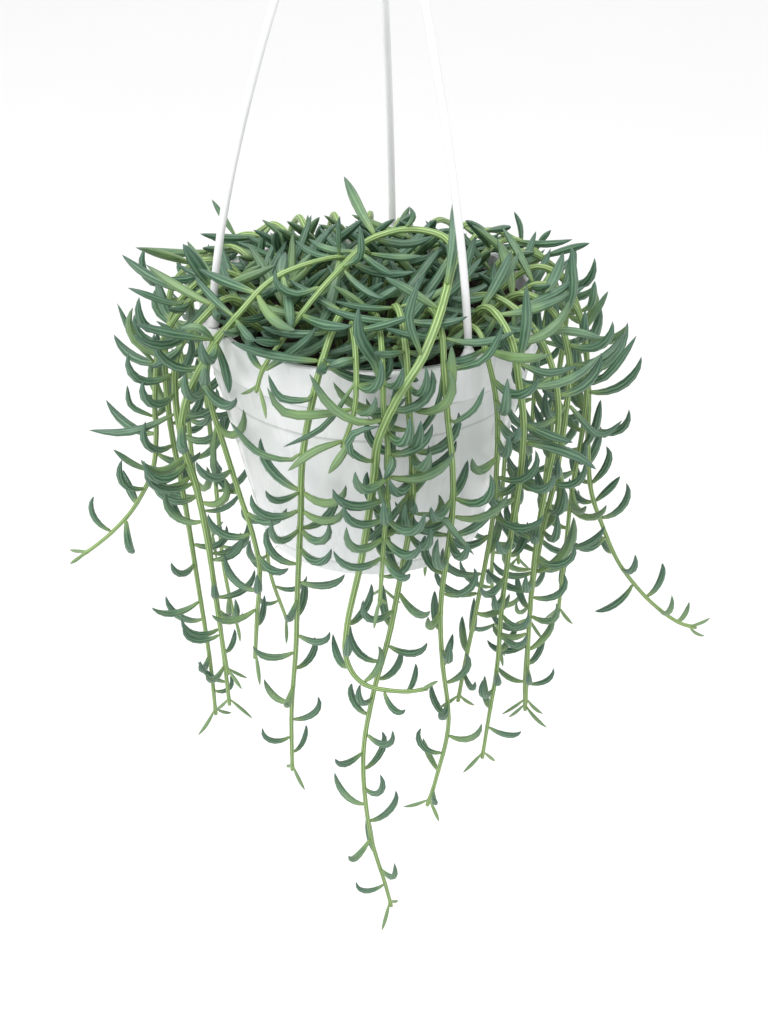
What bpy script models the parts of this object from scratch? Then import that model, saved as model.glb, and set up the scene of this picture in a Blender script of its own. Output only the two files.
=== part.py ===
"""A hanging pot of string of fishhooks: a white moulded pot on a three-armed hanger, full of
trailing stems whose fleshy leaves curl up like fishhooks.

The origin is where the hanger's hook bears on what carries it, and +Z is up. Everything
else hangs below. An azimuth turns from +X towards -Y, which is the side the pot is seen from.
Lengths are in metres, except in the routes of the stems, which are read more easily in
millimetres from the pot's axis and above its rim.
"""

import math

import bmesh
import bpy
import numpy as np
from mathutils import Matrix, Vector
from mathutils.kdtree import KDTree

MM = 0.001
SHARP_ANGLE = 35
UP = np.array([0.0, 0.0, 1.0])
GAP = 0.0003

# Pot
RIM_R = 0.0800
RIM_FOOT_R = 0.0794
BAND_H = 0.0195
LIP_IN_R = 0.0760
WALL_TOP_R = 0.0778
WALL = 0.0018
BASE_R = 0.0550
POT_H = 0.1200
FOOT_H = 0.0070
FOOT_STEP = 0.0006
POT_SIDES = 32
DRAIN_R = 0.0040
DRAIN_RING_R = 0.0300
DRAINS = 4

# Hanger
HOOK_RISE = 0.2980
JOIN_RISE = 0.2480
ARM_R = 0.0018
ARM_FOOT_R = 0.0782
ARM_BOW = 1.50
ARM_AZIMUTHS = (57.0, 156.5, 278.0)
COLLAR_R = 0.0031
COLLAR_H = 0.0032
PEG_R = 0.0012
PEG_LENGTH = 0.0100
BOSS_WIDTH = 0.0095
BOSS_R = 0.0812
HUB_R = 0.0062
HUB_H = 0.0110
HOOK_WIRE_R = 0.0024
HOOK_INNER_R = 0.0100

# Soil
SOIL_DEPTH = 0.0090
SOIL_CROWN = 0.0006
HOLE_DEPTH = 0.0130
ROOT_DEPTH = 0.0115

RIM_Z = -HOOK_RISE
SOIL_Z = RIM_Z - SOIL_DEPTH

# Stems: each route starts at the soil and is given as (azimuth in degrees, millimetres from
# the pot's axis, millimetres above the rim). The thickness is the radius at the root.
VISIBLE_TRAILS = (
    (1.7, (95, 38, -9), (97, 50, 14), (101, 68, 22), (103, 84, 14), (106, 91, -8), (110, 89, -40),
     (112, 86, -75), (115, 82, -115), (117, 80, -150), (120, 79, -190), (121, 78, -228)),
    (2.1, (165, 16, -9), (135, 18, 20), (97, 22, 36), (65, 25, 42), (44, 31, 42), (40, 43, 41),
     (46, 54, 38), (54, 60, 36), (64, 73, 31), (72, 88, 24), (78, 99, 14), (84, 105, 1),
     (88, 105, -18), (90, 99, -50), (93, 93, -88), (97, 93, -122), (97, 97, -140), (92, 99, -152),
     (82, 100, -156), (75, 99, -157)),
    (1.7, (78, 34, -9), (79, 50, 16), (80, 72, 24), (80, 86, 12), (80, 92, -8), (79, 93, -35),
     (79, 92, -66), (82, 91, -100), (85, 88, -133), (90, 86, -169), (93, 88, -205), (91, 89, -249),
     (86, 88, -285), (84, 88, -300)),
    (1.5, (88, 24, -9), (88, 46, 12), (87, 70, 18), (87, 90, 12), (87, 101, -10), (86, 103, -40),
     (87, 100, -75), (88, 98, -108)),
    (1.6, (62, 42, -9), (65, 60, 18), (68, 80, 18), (70, 92, 2), (70, 97, -18), (68, 95, -42),
     (67, 92, -71), (69, 89, -116), (68, 88, -150), (65, 87, -190), (69, 87, -222), (72, 87, -238)),
    (1.8, (42, 52, -9), (46, 72, 18), (49, 92, 12), (50, 100, -6), (47, 99, -30), (44, 94, -60),
     (45, 92, -84), (46, 91, -108), (47, 90, -133), (48, 90, -165), (51, 90, -195), (53, 90, -217)),
    (1.3, (56, 55, -9), (56, 70, 12), (55, 84, 8), (53, 90, -12), (50, 88, -40), (49, 85, -84),
     (53, 83, -128), (58, 83, -164), (60, 83, -182)),
    (1.6, (25, 50, -9), (24, 72, 14), (24, 90, 8), (23, 98, -15), (22, 97, -45), (24, 95, -75),
     (30, 94, -98), (34, 93, -126), (34, 92, -153), (35, 92, -183), (34, 92, -203)),
    (1.4, (12, 55, -9), (11, 76, 12), (10, 92, 6), (10, 101, -15), (10, 103, -50), (10, 99, -95),
     (11, 98, -118), (12, 97, -141), (13, 96, -165)),
    (1.5, (358, 50, -9), (0, 74, 14), (1, 90, 8), (2, 99, -12), (2, 104, -45), (0, 106, -80),
     (0, 109, -106), (0, 116, -127), (0, 125, -148), (1, 136, -163), (1, 147, -175), (2, 158, -182),
     (2, 167, -185)),
    (1.5, (166, 56, -9), (163, 74, 14), (162, 90, 6), (164, 101, -14), (168, 104, -45),
     (170, 104, -62), (171, 107, -84), (173, 117, -106), (174, 128, -120), (175, 138, -130),
     (175, 145, -135)),
    (1.8, (150, 50, -9), (149, 72, 16), (150, 88, 8), (157, 94, -8), (160, 96, -24), (160, 96, -45),
     (158, 94, -66), (155, 91, -84), (153, 88, -105), (153, 87, -125), (152, 86, -142),
     (150, 85, -175), (149, 84, -205)),
    (1.8, (120, 12, -9), (108, 22, 22), (109, 40, 36), (121, 56, 37), (129, 70, 32), (133, 84, 20),
     (138, 92, 6), (143, 96, -10), (148, 98, -26), (151, 99, -42), (151, 98, -58), (149, 95, -75),
     (147, 92, -110), (146, 90, -145), (144, 88, -180)),
    (1.5, (138, 54, -9), (140, 72, 9), (143, 86, 4), (146, 89, -14), (147, 87, -32), (143, 85, -50),
     (137, 84, -72), (132, 83, -92), (130, 82, -112), (132, 82, -138), (134, 82, -165)),
    (1.6, (178, 42, -9), (172, 66, 16), (168, 86, 10), (167, 97, -12), (166, 98, -50),
     (163, 94, -95), (160, 91, -140), (158, 88, -185), (157, 87, -218)),
    (1.6, (34, 32, -9), (35, 60, 16), (36, 84, 12), (35, 98, -8), (34, 102, -35), (36, 100, -65),
     (38, 98, -95), (39, 97, -135), (38, 96, -170), (37, 95, -195)),
    (1.7, (88, 10, -9), (92, 18, 24), (97, 34, 38), (106, 54, 35), (112, 68, 27), (117, 80, 15),
     (121, 90, 2), (123, 92, -10)),
    (1.7, (100, 52, -9), (98, 60, 12), (96, 76, 20), (94, 92, 12), (94, 101, -6), (97, 103, -24)),
)
HIDDEN_TRAILS = 13
HIDDEN_ARC = (190.0, 350.0)
HIDDEN_DROPS = (150, 215, 120, 235, 180, 100, 225, 165, 200, 130, 240, 175, 205)
HIDDEN_RADIUS = (1.4, 1.8)
HIDDEN_WANDER = 5
HIDDEN_SAG = (0.3, 0.55, 0.8, 1.0)
CROWN_STEMS = 23
CROWN_REACH = 64.0
CROWN_SEED = 11
CROWN_RADIUS = (1.6, 1.9)
CROWN_RISE = 16
CROWN_RISE_LOST = (6, 5)
CROWN_LEAN = (5, 15)
CROWN_SWAY = 9
GOLDEN_TURN = 137.508
SPIRAL_TURNS = 80
ROOTS_APART = 9.5
BARE_SOIL = (46, 96, 136)
ROUTE_STEP = 3.0
ROOT_Z = -9
TIP_RADIUS = {"trail": 0.95, "crown": 1.15}
TAPER = 1.4

# Trailing stems that start slim, by number: how far along their length they are thickest
THICKEST_AT = {2: 0.4, 13: 0.5}
SLIM_START = 0.6

# Spacing of the stems, in millimetres, and how hard they are eased apart
STEM_APART = 1.3
STEM_SEARCH = 6.5
ARM_SEARCH = 9.0
ARM_LIFT = 0.3
POT_APART = 0.8
OVER_POT_R = 82
EASE_TURNS = 60
EASE_STEM = 0.5
EASE_POT = 0.6
EASE_SMOOTH = 5
HELD_BEADS = 2

# Stretches of a trailing stem, by its number and by height above the rim, that have no leaves
BARE_STRETCHES = {1: (0, -56), 2: (36, -122), 5: (2, -52), 6: (4, -50)}

# Leaves chosen by eye: each has its width and then the places from its foot to its tip
CHOSEN_LEAVES = (
    (5.3, (85, 23, 39), (112, 12, 47), (221, 16, 55)),
    (5.6, (62, 70, 32), (56, 64, 49), (48, 54, 65)),
    (7.2, (164, 65, 4), (167, 76, 16), (168, 86, 34)),
    (3.6, (221, 87, 5), (219, 100, 23)),
    (4.0, (162, 87, 9), (164, 95, 9), (166, 113, 17)),
    (4.0, (163, 74, 14), (165, 85, 17), (166, 89, 22)),
    (3.8, (165, 102, -22), (166, 112, -8), (167, 118, 9)),
    (4.3, (138, 92, 7), (139, 99, 15), (142, 106, 15)),
    (5.7, (155, 93, -4), (155, 97, -9), (157, 108, -16)),
    (2.7, (155, 93, -4), (157, 99, 2), (158, 104, 6)),
    (3.8, (220, 51, 9), (216, 55, 19), (212, 61, 25)),
    (3.6, (242, 60, 1), (240, 61, 11), (240, 61, 19)),
    (3.2, (110, 41, 37), (110, 41, 51), (109, 41, 56)),
    (4.8, (208, 63, 3), (209, 60, 11), (210, 59, 21)),
    (3.8, (220, 49, 8), (212, 60, 13), (208, 68, 17)),
    (3.7, (204, 47, 11), (199, 59, 16), (197, 66, 19)),
    (4.0, (204, 47, 11), (199, 59, 12), (196, 68, 12)),
    (4.6, (110, 63, 31), (117, 71, 30), (122, 76, 35), (123, 75, 42)),
    (4.4, (105, 50, 36), (95, 52, 43), (95, 52, 57)),
    (4.2, (151, 17, 6), (98, 10, 4), (47, 14, 6)),
    (5.0, (348, 35, 10), (342, 18, 9), (310, 6, 15), (253, 5, 22)),
    (4.9, (261, 37, 10), (289, 37, 12), (307, 42, 11), (318, 50, 16)),
    (4.5, (68, 81, 28), (78, 80, 38), (86, 79, 45)),
    (5.0, (77, 98, 16), (81, 100, 35), (80, 102, 46), (79, 102, 54)),
    (6.2, (80, 91, 0), (89, 93, 12), (93, 97, 27), (93, 97, 40)),
    (4.3, (94, 91, 13), (97, 95, 13), (101, 97, 11)),
    (4.9, (121, 90, 1), (112, 85, 12), (108, 84, 18), (106, 84, 23)),
    (4.3, (70, 91, 4), (62, 100, 10), (59, 103, 19), (58, 105, 28)),
    (3.6, (70, 97, -16), (69, 101, -16), (65, 105, -9), (63, 106, 1)),
    (5.4, (50, 98, 2), (50, 103, 22), (50, 102, 41)),
    (5.1, (50, 100, -9), (45, 112, -6), (42, 121, 0), (39, 128, 10)),
    (4.4, (50, 98, 2), (44, 107, -3), (40, 118, 1)),
    (4.7, (36, 90, 6), (31, 103, 7), (27, 116, 3)),
    (5.3, (24, 93, 3), (23, 98, 19), (23, 97, 32), (23, 96, 42)),
    (4.6, (317, 64, 4), (325, 76, 5), (331, 91, 7)),
    (3.5, (332, 91, 4), (332, 94, 9), (334, 97, 15)),
    (3.6, (319, 98, -3), (319, 98, 8), (318, 95, 16)),
    (3.7, (340, 61, 3), (344, 75, 5), (347, 92, 3)),
    (4.7, (2, 98, -7), (2, 103, -3), (2, 104, 9)),
    (3.4, (10, 100, -10), (9, 106, 1), (9, 110, 10)),
    (3.5, (270, 100, -4), (271, 100, 6)),
    (3.6, (280, 64, 6), (284, 65, 12), (287, 66, 19)),
    (3.3, (54, 27, 42), (49, 29, 48), (51, 28, 53)),
    (4.3, (106, 91, -5), (107, 95, -7), (113, 99, -6), (115, 100, 0), (116, 100, 5)),
    (5.2, (94, 101, -6), (103, 109, -6), (109, 115, -3), (112, 116, 8)),
    (5.2, (87, 106, -9), (93, 109, -8), (99, 112, 1), (103, 114, 16)),
    (4.0, (110, 89, -37), (113, 94, -39), (120, 101, -34), (125, 107, -19)),
    (3.5, (94, 101, -6), (101, 106, -13), (110, 112, -23)),
    (4.3, (96, 103, -21), (103, 108, -24), (109, 111, -34)),
    (4.3, (96, 103, -21), (96, 106, -23), (100, 107, -35)),
    (4.1, (86, 103, -28), (92, 107, -27), (95, 109, -21), (94, 109, -13), (88, 106, -11)),
    (5.0, (70, 97, -16), (70, 100, 3), (70, 99, 20)),
    (3.5, (70, 91, 4), (72, 92, -12), (79, 89, -32)),
    (3.4, (79, 92, -53), (75, 96, -41), (75, 96, -28)),
    (4.5, (86, 103, -28), (85, 105, -30), (87, 105, -38)),
    (2.8, (89, 101, -40), (88, 103, -45), (87, 103, -53)),
    (4.5, (79, 92, -53), (86, 94, -68), (92, 95, -78)),
    (3.7, (79, 92, -53), (72, 99, -64), (68, 102, -74), (64, 105, -84)),
    (4.8, (22, 98, -28), (21, 113, -23), (19, 121, -12), (18, 126, -2)),
    (4.6, (22, 97, -39), (19, 110, -54), (18, 117, -53), (17, 122, -47)),
    (5.0, (360, 108, -102), (360, 115, -94), (360, 117, -86), (360, 115, -81)),
    (4.7, (360, 108, -102), (360, 119, -104), (360, 123, -98)),
    (5.3, (10, 101, -74), (10, 108, -61), (11, 110, -44)),
    (4.9, (47, 99, -29), (43, 109, -34), (40, 117, -37)),
    (5.7, (46, 98, -40), (42, 108, -41), (38, 118, -46), (36, 125, -52)),
    (5.7, (23, 95, -70), (24, 98, -88), (26, 94, -100), (28, 87, -106)),
    (6.6, (34, 93, -121), (31, 104, -112), (30, 109, -99), (30, 109, -88)),
    (4.8, (160, 96, -44), (163, 110, -52), (164, 122, -54), (166, 136, -53)),
    (5.7, (166, 98, -44), (167, 105, -43), (168, 112, -35)),
    (3.6, (169, 104, -53), (170, 115, -47), (170, 116, -36)),
    (4.0, (147, 89, -22), (148, 97, -27), (151, 104, -21)),
    (3.7, (171, 107, -85), (172, 117, -80), (172, 125, -72)),
    (4.0, (145, 86, -42), (146, 88, -58), (146, 87, -76)),
)

# The nodes tried for a chosen leaf, and how far it may slip along the line of sight
CHOSEN_NODES = 3
CHOSEN_SHIFTS = (0, -2, 2, -4, 4, -7, 7, -10, 10, 14)
LINE_OF_SIGHT = np.array([0.0, 0.909, -0.417])

# Leaves placed by rule, in millimetres and degrees
LEAF_SEED = 7
LEAF_CLEAR = 0.9
WALL_CLEAR = 0.54
LEAF_SPAN = 34.0
LEAF_TRIES = 24
TRY_SHRINK = 0.012
TRY_TURN = 2.4
LEAF_BEADS = 9
ROOT_BEADS = 3
PAIR_SPREAD = 0.2
LEAF_LENGTH = {"crown": (31.0, 44.0), "trail": (22.0, 29.0), "tip": (10.0, 16.0)}
LEAF_WIDTH = {"crown": 5.7, "trail": 4.3, "tip": 2.2}
LEAF_LEAN = {"crown": (-10, 28), "trail": (8, 35), "tip": (42, 60)}
LEAF_BEND = {"crown": (35, 100), "trail": (80, 150), "tip": (5, 35)}
LEAF_SWAY = 28
LEAF_MOST_RISE = {"crown": 50, "trail": 125, "tip": 95}
RISE_LOST_AT_RIM = 16
RISE_LOST_AT_BACK = 14
FULL_RISE_BELOW = 12
CROWN_TOP = 40
CROWN_SHOULDER_R = 42
CROWN_FALL = 0.22
CROWN_BACK_FALL = 0.36
LEAF_LEAST_BEND = -30
THICK_OF_WIDTH = 0.85
CROWN_NODES = (0.3, 0.48, 0.66, 0.83, 1.0)
MOUND_R = 88
MOUND_SPACING = 14.0
TRAIL_SPACING = 10.5
NODE_TURN = 2.4
SOLID_EVERY = {"crown": 2, "trail": 3}
SQUARE_OF_ROUND = 0.886
CORNER_OF_ROUND = 1.25
LEAF_FOOT = 0.42
LEAF_SECTIONS = {"crown": (0.32, 0.70), "trail": (0.32, 0.70), "tip": (0.45,)}
LEAF_CORNER = 1.18
LEAF_SUNK = 0.8
MOST_BOW = 1.3


def polar(azimuth, radius, height):
    """A place from its azimuth, its millimetres from the pot's axis and above the rim."""
    turn = math.radians(azimuth)
    return np.array([radius * math.cos(turn), -radius * math.sin(turn), height])


def in_row(place):
    """A place of the plan in metres from the hook."""
    return Vector(place * MM) + Vector((0, 0, RIM_Z))


def unit(vector):
    return vector / max(np.linalg.norm(vector), 1e-9)


def turned(vector, axis, angle):
    """The vector turned about a unit axis."""
    c, s = math.cos(angle), math.sin(angle)
    return vector * c + np.cross(axis, vector) * s + axis * np.dot(axis, vector) * (1 - c)


def smooth_route(points, step=ROUTE_STEP):
    """Places a fixed step apart on a smooth curve through the points."""
    knots = np.array([2 * points[0] - points[1]] + list(points) + [2 * points[-1] - points[-2]])
    dense = []
    for a, b, c, d in zip(knots, knots[1:], knots[2:], knots[3:]):
        for u in np.arange(0, 1, 0.08):
            dense.append(0.5 * (2 * b + (c - a) * u + (2 * a - 5 * b + 4 * c - d) * u * u
                                + (3 * b - 3 * c + d - a) * u**3))
    dense.append(points[-1])
    dense = np.array(dense)
    run = np.concatenate([[0], np.cumsum(np.linalg.norm(np.diff(dense, axis=0), axis=1))])
    marks = np.linspace(0, run[-1], max(4, int(run[-1] / step)))
    return np.stack([np.interp(marks, run, dense[:, k]) for k in range(3)], axis=1)


def farness(azimuth):
    """From 0 on the side the pot is seen from to 1 at its back, where the plant is lower."""
    return max(0.0, -math.sin(math.radians(azimuth)))


def hidden_trail(rng, azimuth, drop):
    """The route of a stem on the far side: out of the soil, over the rim and down."""
    swing = rng.uniform(-HIDDEN_WANDER, HIDDEN_WANDER)
    out = rng.uniform(0, 7)
    back = farness(azimuth)
    points = [
        (azimuth + swing, rng.uniform(42, 60), ROOT_Z),
        (azimuth + swing / 2, 70, rng.uniform(10, 15) - 6 * back),
        (azimuth, 88, rng.uniform(6, 9) - 3 * back),
        (azimuth, 98 + out, -14),
    ]
    for share in HIDDEN_SAG:
        wander = azimuth + rng.uniform(-HIDDEN_WANDER, HIDDEN_WANDER) * share
        points.append((wander, 97 + out * (1 - share) - 9 * share, -14 - (drop - 14) * share))
    return rng.uniform(*HIDDEN_RADIUS), points


def crown_shoot(rng, azimuth, radius):
    """The route of a short upright shoot, leaning out more the further out it stands."""
    share = radius / CROWN_REACH
    lost_at_edge, lost_at_back = CROWN_RISE_LOST
    height = CROWN_RISE - (lost_at_edge + lost_at_back * farness(azimuth)) * share + rng.uniform(-4, 4)
    lean = CROWN_LEAN[0] + CROWN_LEAN[1] * share
    sway = rng.uniform(-CROWN_SWAY, CROWN_SWAY)
    points = [
        (azimuth, radius, ROOT_Z),
        (azimuth, radius + 0.15 * lean, 0),
        (azimuth + sway / 2, radius + 0.5 * lean, 0.55 * height),
        (azimuth + sway, radius + lean, height),
    ]
    return rng.uniform(*CROWN_RADIUS), points


def arm_radius(rise):
    """How far a hanger arm stands from the axis, in millimetres, at a height above the rim."""
    return (ARM_FOOT_R / MM) * (1 - (rise * MM / JOIN_RISE) ** ARM_BOW)


def arm_beads():
    """Beads along the hanger's arms and round their feet, which the plant keeps clear of."""
    beads = []
    for azimuth in ARM_AZIMUTHS:
        for rise in range(0, 150, 3):
            beads.append((*polar(azimuth, arm_radius(rise), rise), ARM_R / MM))
        for height in range(-20, 6, 4):
            beads.append((*polar(azimuth, 78.5, height), 5.2))
    return np.array(beads)


POT_OUTLINE = np.array([(78.0, -2.2), (77.6, -18.0), (76.6, -21.0), (54.0, -118.5), (0.0, -118.5)])
POT_HALF_WALL = 2.3


def pot_room(places):
    """The distance in millimetres from each place to the pot's wall, and above the soil."""
    flat = np.stack([np.hypot(places[:, 0], places[:, 1]), places[:, 2]], axis=1)
    nearest = np.full(len(flat), 1e9)
    for start, end in zip(POT_OUTLINE, POT_OUTLINE[1:]):
        along = end - start
        share = np.clip((flat - start) @ along / (along @ along), 0, 1)
        gap = np.linalg.norm(flat - start - share[:, None] * along, axis=1)
        nearest = np.minimum(nearest, gap)
    inside = flat[:, 0] < 77
    over_soil = np.where(inside & (flat[:, 1] > -60), flat[:, 1] + SOIL_DEPTH / MM - 1.5, 1e9)
    return np.minimum(nearest - POT_HALF_WALL, over_soil)


def root_free(root, roots, apart):
    """Whether a root stands at least so far from all the others."""
    return all(np.linalg.norm(root - other) > apart for other in roots)


def stem_routes():
    """Every stem as (name, root radius, places): the trailing stems, then the crown shoots."""
    rng = np.random.default_rng(CROWN_SEED)
    given = [(row[0], row[1:]) for row in VISIBLE_TRAILS]
    for index in range(HIDDEN_TRAILS):
        share = (index + 0.5) / HIDDEN_TRAILS
        azimuth = HIDDEN_ARC[0] + share * (HIDDEN_ARC[1] - HIDDEN_ARC[0])
        given.append(hidden_trail(rng, azimuth, HIDDEN_DROPS[index]))
    roots = [polar(*points[0])[:2] for _, points in given]
    stems = [("trailing_stem_%02d" % (k + 1), size, points)
             for k, (size, points) in enumerate(given)]
    made = 0
    bare_r, bare_from, bare_to = BARE_SOIL
    for index in range(5 * SPIRAL_TURNS):
        sweep = index // SPIRAL_TURNS
        radius = CROWN_REACH * math.sqrt((index % SPIRAL_TURNS + 0.5) / SPIRAL_TURNS)
        azimuth = (index * GOLDEN_TURN + 7 * sweep) % 360
        root = polar(azimuth, radius, 0)[:2]
        bare_front = radius > bare_r and bare_from < azimuth < bare_to
        if bare_front or not root_free(root, roots, ROOTS_APART - sweep):
            continue
        size, points = crown_shoot(rng, azimuth, radius)
        made += 1
        roots.append(root)
        stems.append(("crown_stem_%02d" % made, size, points))
        if made == CROWN_STEMS:
            break
    return [(name, size, smooth_route([polar(*p) for p in points]))
            for name, size, points in stems]


def thickness(name, size, route):
    """The stem's radius at each of its places: it thins towards the tip."""
    share = np.linspace(0, 1, len(route))
    if name.startswith("crown"):
        return size + (TIP_RADIUS["crown"] - size) * share**TAPER
    thickest = THICKEST_AT.get(int(name[-2:]), 0.0)
    beyond = np.clip((share - thickest) / (1 - thickest), 0, 1)
    swell = np.interp(share, (thickest - 0.3, thickest), (SLIM_START if thickest else 1.0, 1.0))
    return swell * (size + (TIP_RADIUS["trail"] - size) * beyond**TAPER)


def ease_apart(stems):
    """Bends the routes clear of each other, the pot and the hanger's arms."""
    places = np.vstack([route for _, _, route in stems])
    sizes = np.concatenate([thickness(*stem) * CORNER_OF_ROUND for stem in stems])
    owner = np.concatenate([np.full(len(route), k) for k, (_, _, route) in enumerate(stems)])
    starts = np.concatenate([[0], np.cumsum([len(route) for _, _, route in stems])])
    held = np.zeros(len(places), bool)
    for start in starts[:-1]:
        held[start:start + HELD_BEADS] = True
    arms = arm_beads()
    arm_tree = KDTree(len(arms))
    for k, bead in enumerate(arms):
        arm_tree.insert(bead[:3], k)
    arm_tree.balance()
    for _ in range(EASE_TURNS):
        tree = KDTree(len(places))
        for k, place in enumerate(places):
            tree.insert(place, k)
        tree.balance()
        push = np.zeros_like(places)
        for k, place in enumerate(places):
            for other, at, far in tree.find_range(place, STEM_SEARCH):
                need = sizes[k] + sizes[at] + STEM_APART
                if owner[at] != owner[k] and far < need:
                    push[k] += unit(place - np.array(other)) * (need - far) * EASE_STEM
            for other, at, far in arm_tree.find_range(place, ARM_SEARCH):
                need = sizes[k] + arms[at][3] + STEM_APART
                if far < need:
                    way = unit((place - np.array(other)) * (1, 1, ARM_LIFT))
                    push[k] += way * (need - far) * EASE_STEM
        room = pot_room(places) - sizes - POT_APART
        radial = places * (1, 1, 0)
        radial /= np.maximum(np.linalg.norm(radial, axis=1), 1e-6)[:, None]
        over = np.hypot(places[:, 0], places[:, 1]) < OVER_POT_R
        lift = np.where(over[:, None], UP, radial)
        push += lift * np.maximum(-room, 0)[:, None] * EASE_POT
        push[held] = 0
        for start, end in zip(starts, starts[1:]):
            part = push[start:end]
            for _ in range(EASE_SMOOTH):
                part[1:-1] = 0.25 * part[:-2] + 0.5 * part[1:-1] + 0.25 * part[2:]
            part[:HELD_BEADS] = 0
        places = places + push
    return [(name, size, places[starts[k]:starts[k + 1]])
            for k, (name, size, _) in enumerate(stems)]


def leaf_path(start, heading, bend, length, sway):
    """Beads along a leaf that sets off along its heading and curls up towards the light."""
    hinge = np.cross(heading, UP)
    if np.linalg.norm(hinge) < 0.15:
        hinge = np.cross(heading, unit(start * (1, 1, 0) + 1e-6))
    hinge = unit(hinge)
    places = [start]
    step = length / (LEAF_BEADS - 1)
    for k in range(LEAF_BEADS - 1):
        share = (k + 0.5) / (LEAF_BEADS - 1)
        way = turned(heading, hinge, bend * share**1.15)
        way = turned(way, UP, sway * share)
        places.append(places[-1] + way * step)
    return np.array(places), hinge


def leaf_width(share):
    """A leaf's width along its length, as a share of its greatest width."""
    return np.interp(share, (0, 0.12, 0.32, 0.58, 0.78, 0.92, 1), (0.45, 0.56, 0.82, 1, 0.88, 0.5, 0.1))


def leaf_nodes(stems):
    """The nodes where leaves may grow, as (stem, place on it, rank along it, kind)."""
    nodes = []
    for k, (name, _, route) in enumerate(stems):
        last = len(route) - 2.0
        if name.startswith("crown"):
            nodes += [(k, 4 + (last - 4) * share, rank, "crown") for rank, share in enumerate(CROWN_NODES)]
            continue
        at, rank = 5.0, 0
        while at < last - 2.0:
            place = route[int(at)]
            mound = math.hypot(place[0], place[1]) < MOUND_R and place[2] > -6
            nodes.append((k, at, rank, "crown" if mound else "trail"))
            at += (MOUND_SPACING if mound else TRAIL_SPACING) / ROUTE_STEP
            rank += 1
        nodes.append((k, last, rank, "tip"))
    return nodes


def leaf_size(rng, kind, from_tip, drop):
    """A leaf's length and width: long near the crown, shorter and slimmer towards a stem's tip."""
    length = rng.uniform(*LEAF_LENGTH[kind])
    size = 1.0
    if kind == "trail":
        size = min(1.0, 0.6 + from_tip / 90) * np.interp(drop, (0, 60, 130, 200), (1.35, 1.22, 1.0, 0.92))
    return length * size, LEAF_WIDTH[kind] * size**0.9


def over_crown(path):
    """How far a leaf stands out of the crown's dome, which is lower on the far side."""
    from_axis = np.hypot(path[:, 0], path[:, 1])
    dome = CROWN_TOP - CROWN_FALL * np.maximum(from_axis - CROWN_SHOULDER_R, 0)
    dome -= CROWN_BACK_FALL * np.maximum(path[:, 1], 0)
    return (path[:, 2] - dome).max()


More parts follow.
